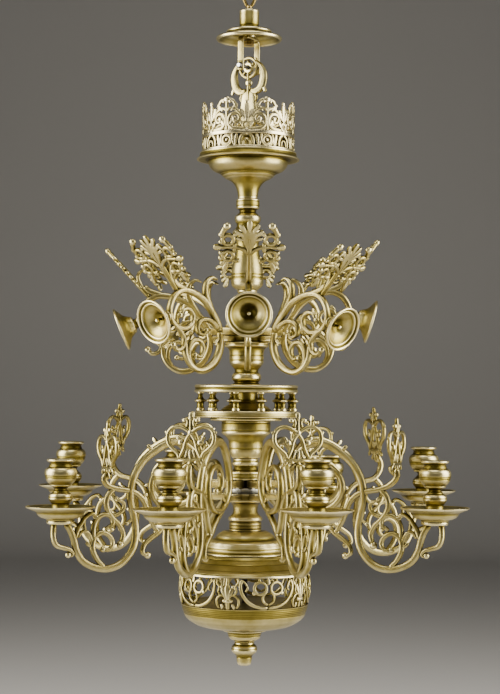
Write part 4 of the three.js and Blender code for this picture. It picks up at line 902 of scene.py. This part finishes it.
for k, (azimuth, lift, shift) in enumerate(lowerTier, 1):
    arm, pan, cup = f"candle_arm_{k}", f"drip_pan_{k}", f"candle_cup_{k}"
    armMesh = makeMesh("candle_arm", candleArmForms(lift, shift), 55)
    addPiece(arm, turnedCopy(armMesh, azimuth, lowerHubTop), castBrass)
    reach = bentPoint(candleArm["panSeat"], candleArm["lugEnd"], lift)[0]
    out = Matrix.Translation((reach / 1000, 0, 0))
    addPiece(pan, turnedCopy(panMesh, azimuth, bottomOf(pan), out), turnedBrass)
    addPiece(cup, turnedCopy(cupMesh, azimuth, bottomOf(cup), out), turnedBrass)
print("lower tier made")

# Upper tier: horn arms and horns

hornArm = {"depth": 9.4, "lugEnd": 57, "seat": (160, 24), "droop": 20, "leafFoot": (150, 68), "leafLean": 40}


# The upper palmette: a ridged stem with a lobed fan, two branches with teardrops and two pairs of rings,
# leaning outward. Its first coordinate runs across the arm, its second up the leaf.
def upperPalmette(shift):
    d = palmetteDepth
    branch = [(0, 33), (4, 38), (10, 43), (20, 46.5), (31, 46.5), (41, 45.6)]
    side = [
        petal((3, 66), (13.4, 82.5), 9, d), petal((6, 62), (20, 72.5), 9, d), petal((6, 57), (19, 61), 7, d),
        bar(branch, [6, 6.2, 6.2, 6, 6, 6.4], d, *leaf),
        petal((36, 45.8), (51, 46), 11.5, d * 1.1), loop((30, 58), 7.6, 6.4, d, 2.3),
        bar([(38, 60), (38.4, 67), (36, 73), (33, 79)], [7, 7.4, 7.6, 8], d, 2.3, 14, 1.5),
        bead((31.6, 79.6), (5.4, 5.4, 4.2)), bead((39.8, 66), (3.8, 3.8, 3)), bead((40, 54), (3.6, 3.6, 2.8)),
        petal((25, 62), (16, 70), 7, d), loop((30, 32), 7.4, 6.4, d, 2.3), bead((39.4, 36.6), (4, 4, 3)),
        bead((40, 28), (4.2, 4.2, 3)), petal((32, 27), (40.4, 16), 9, d), petal((30, 26), (36, 5), 9.6, d),
        bar([(24, 27), (18, 24), (13.6, 27)], [6.6, 6, 4.6], d, *leaf), bead((16.6, 24), (4.2, 4.2, 3)),
        bar([(21, 37), (20.6, 54)], [6, 6], d, *leaf),
    ]
    centre = [
        petal((0, 68), (0, 89), 10, d * 1.2), bar([(0, -10), (0, 20), (0, 58)], [8.4, 8, 8], d, 2.2, 14, 2.0),
        bar([(0, 40), (0, 52), (0, 62), (0, 70), (0, 77)], [8, 15, 24, 25, 16], d * 0.9, 2.6, 16, 1.6),
        bar([(0, -8), (0, 62)], [3, 2.8], d + 1.6, 2.2, 8, 2.0),
    ]
    lean = math.radians(hornArm["leafLean"])
    footOut, footUp = np.array(hornArm["leafFoot"]) + shift
    out = []
    for form in bothSides(side) + centre:
        w, h, n = form[0].T
        a = footOut + h * math.sin(lean) + n * math.cos(lean)
        b = footUp + h * math.cos(lean) - n * math.sin(lean)
        out.append((np.stack([a, w, b], axis=1), *form[1:]))
    return out


# A horn arm, made in the same way; its pin points outward and down by the droop.
def hornArmForms(lift, shift):
    d, lugEnd, up = hornArm["depth"], hornArm["lugEnd"], shift[1]
    main = [(55, 4), (62, 18), (72, 32), (84, 46), (99, 55), (116, 61), (132, 62), (146, 55), (154, 43),
            (157, 30), (153, 18), (142, 9), (127, 7), (114, 14), (111, 26), (119, 35), (131, 34), (136, 26)]
    tail = [(148, 13), (135, 3), (128, -9), (132, -21), (143, -24), (149, -17)]
    leafStem = [(118, 60), (134, 66 + up / 2), (144, 70 + up), (152, 78 + up)]
    hook = [(150, 68 + up), (157, 80 + up), (160, 93 + up), (153, 102 + up), (146, 100 + up)]
    curl = [(70, 28), (80, 46), (86, 62), (84, 76), (74, 84), (64, 80)]
    scroll = [(57, 6), (55, -8), (58, -24), (68, -40), (84, -50), (101, -52), (116, -44), (125, -30),
              (127, -12)]
    ring = [(112, -48), (119, -34), (118, -19), (108, -9), (95, -11), (90, -22), (96, -33), (106, -31)]
    volute = [(60, 8), (69, 16), (81, 21), (93, 20), (101, 12), (100, 2), (90, -1), (84, 6)]
    lines = [
        bar(main, [10, 10.4, 10.4, 10, 9.6, 9.2, 8.8, 8.4, 8, 7.2, 5.6], d, *heavy),
        bar(tail, [8, 7.8, 7.4, 6.8, 5.2], d * 0.92),
        bar(leafStem, [9, 9.4, 9.4, 9.4], d * 0.92),
        bar(hook, [8, 7.4, 6.6, 5.2, 3.6], d * 0.85),
        bar(curl, [11, 11, 10.4, 9, 6, 1.8], d * 0.95),
        bar(scroll, [9.8, 9.8, 9.6, 9.2, 8.6, 7.6], d, *heavy),
        bar(ring, [7.8, 7.8, 7.4, 6.8, 5.6], d * 0.92),
        bar(volute, [8.2, 8, 7.6, 7, 6, 4.6], d * 0.92),
    ]
    trims = [
        bead((136, 26), (4.8, 4.8, 4)), bead((149, -17), (4.8, 4.8, 4)), bead((106, -31), (4.6, 4.4, 4)),
        bead((146, 100 + up), (3.8, 3.6, 3.2)), bead((84, 6), (4.4, 4.4, 3.8)),
        petal((57, -4), (68, -13), 7, 6), petal((136, 33), (128, 42), 7.4, 6.6),
        petal((118, 4), (128, -3), 6.6, 6), petal((118, -10), (109, -2), 6.4, 6),
        petal((128, -12), (118, -4), 6.6, 6), petal((144, 12), (156, 4), 6.4, 6),
    ]
    droop = math.radians(hornArm["droop"])
    seat = np.array(hornArm["seat"], float)
    back = np.array([-math.cos(droop), math.sin(droop)])
    pin = bar([tuple(seat + back * 6), tuple(seat - back * 8)], [5, 5], 5, 2, 12, 1.6)
    plane = [laid(form, (0, 2, 1)) for form in [*lines, *trims, pin]]
    moved = [bent(form, lugEnd, lift) for form in plane + upperPalmette(shift)]
    lug = bar([(13.2, 5.7), (35, 5.7), (59, 5.7)], [11, 11, 11], 8, 7, 20, 3)
    tenon = bar([(21.5, -5), (40, -5), (58, -5)], [8, 8, 8], 8, 7, 20, 3)
    return moved + [laid(form, (0, 2, 1)) for form in (lug, tenon)]


# The horn is turned upright, bell on top, and then laid outward with its droop.
hornPath = [
    (0, 12), (3.4, 12), [(6, 12.8), (9, 14.8), (12, 17.8), (16, 20.8), (21, 23.6), (24.4, 25.6)],
    [(25, 27.2), (26.4, 27.7), (27.4, 27)], [(28.8, 28), (30, 30), (31.6, 30.9), (32.8, 30.2)], [(33, 29),
    (32.2, 27.8)], [(29.6, 26.4), (26.4, 24.6)], [(20.4, 21), (16.6, 17.4), (14.6, 13.6), (12.6, 10.2)],
    [(12.2, 8.8), (10, 8.2)], [(8, 6.8), (6.9, 4)], [(8.2, 3), (8.2, 1)], (6.6, 0), (0, 0),
]
hornForms = [
    lathe(hornPath, 80, softness=0.6),
    lathe([(0, 24.4), [(2.2, 23.8), (2.9, 22)], [(2.7, 20.4), (2, 19.6)], (2, 14.2), (3.2, 13.4), (3.2, 11),
           (0, 11)], 20, softness=0.4),
]
hornMesh = makeMesh("horn", hornForms)

for k, (azimuth, lift, shift) in enumerate(upperTier, 1):
    armMesh = makeMesh("horn_arm", hornArmForms(lift, shift), 55)
    addPiece(f"horn_arm_{k}", turnedCopy(armMesh, azimuth, upperHubTop), castBrass)
    seatOut, seatUp = bentPoint(hornArm["seat"], hornArm["lugEnd"], lift)
    droop = math.radians(hornArm["droop"] - lift)
    place = (seatOut + seatGap * math.cos(droop), 0, seatUp - seatGap * math.sin(droop))
    local = Matrix.Translation(Vector(place) / 1000) @ Matrix.Rotation(math.radians(90) + droop, 4, "Y")
    addPiece(f"horn_{k}", turnedCopy(hornMesh, azimuth, upperHubTop, local), turnedBrass)
print("upper tier made")

# The rod stays the frame's own node and gets its iron
rod = frame["nodes"]["central_rod"]
for slotOfRod in rod.material_slots:
    slotOfRod.material = darkIron

# Stage: a pale floor that sweeps up behind, and soft light from both sides

stage = {"floor": -1.33, "halfWidth": 6.0, "front": -4.0, "back": 6.2, "bend": 1.2, "height": 6.0,
         "colour": "c9c6c0"}


# The sweep: a sheet along X whose section is flat, then a quarter round, then upright.
def paleSweep():
    bend, back, floor = stage["bend"], stage["back"], stage["floor"]
    turn = np.linspace(0, math.pi / 2, 16)
    y = np.r_[stage["front"], back - bend + bend * np.sin(turn), back]
    z = np.r_[floor, floor + bend - bend * np.cos(turn), stage["height"]]
    n, half = len(y), stage["halfWidth"]
    verts = np.stack([np.repeat([-half, half], n), np.tile(y, 2), np.tile(z, 2)], axis=1)
    k = np.arange(n - 1)
    faces = np.stack([k, k + n, k + n + 1, k + 1], axis=1)
    mesh = bpy.data.meshes.new("pale_sweep")
    mesh.from_pydata(verts.tolist(), [], faces.tolist())
    mesh.shade_smooth()
    material = bpy.data.materials.new("matt_paper")
    material.use_nodes = True
    shader = material.node_tree.nodes["Principled BSDF"]
    shader.inputs["Base Color"].default_value = linear(stage["colour"])
    shader.inputs["Roughness"].default_value = 0.95
    mesh.materials.append(material)
    sweep = bpy.data.objects.new("pale_sweep", mesh)
    bpy.context.scene.collection.objects.link(sweep)


paleSweep()

softLights = {
    "leftBox": {"place": (-1.75, -0.35, -0.3), "size": (1.3, 2.2), "power": 88},
    "rightBox": {"place": (1.75, -0.35, -0.3), "size": (1.3, 2.2), "power": 88},
    "frontBox": {"place": (0.0, -3.3, 0.9), "size": (2.6, 1.0), "power": 9},
    "topBox": {"place": (0.0, -0.6, 1.3), "size": (1.4, 1.0), "power": 18},
}
lightAim = -0.55  # the height on the stem that every light faces


# Rectangles of warm light, each turned to face the stem, and a faint grey surround.
def addLights():
    for name, light in softLights.items():
        data = bpy.data.lights.new(name, "AREA")
        data.shape = "RECTANGLE"
        data.size, data.size_y = light["size"]
        data.energy = light["power"]
        data.color = (1.0, 0.97, 0.92)
        lamp = bpy.data.objects.new(name, data)
        bpy.context.scene.collection.objects.link(lamp)
        lamp.location = light["place"]
        aim = Vector((0, 0, lightAim)) - Vector(light["place"])
        lamp.rotation_euler = aim.to_track_quat("-Z", "Y").to_euler()
    world = bpy.data.worlds.new("studio")
    world.use_nodes = True
    world.node_tree.nodes["Background"].inputs["Color"].default_value = linear("cfd2d6")
    world.node_tree.nodes["Background"].inputs["Strength"].default_value = 0.05
    bpy.context.scene.world = world


addLights()
print("stage and lights made")
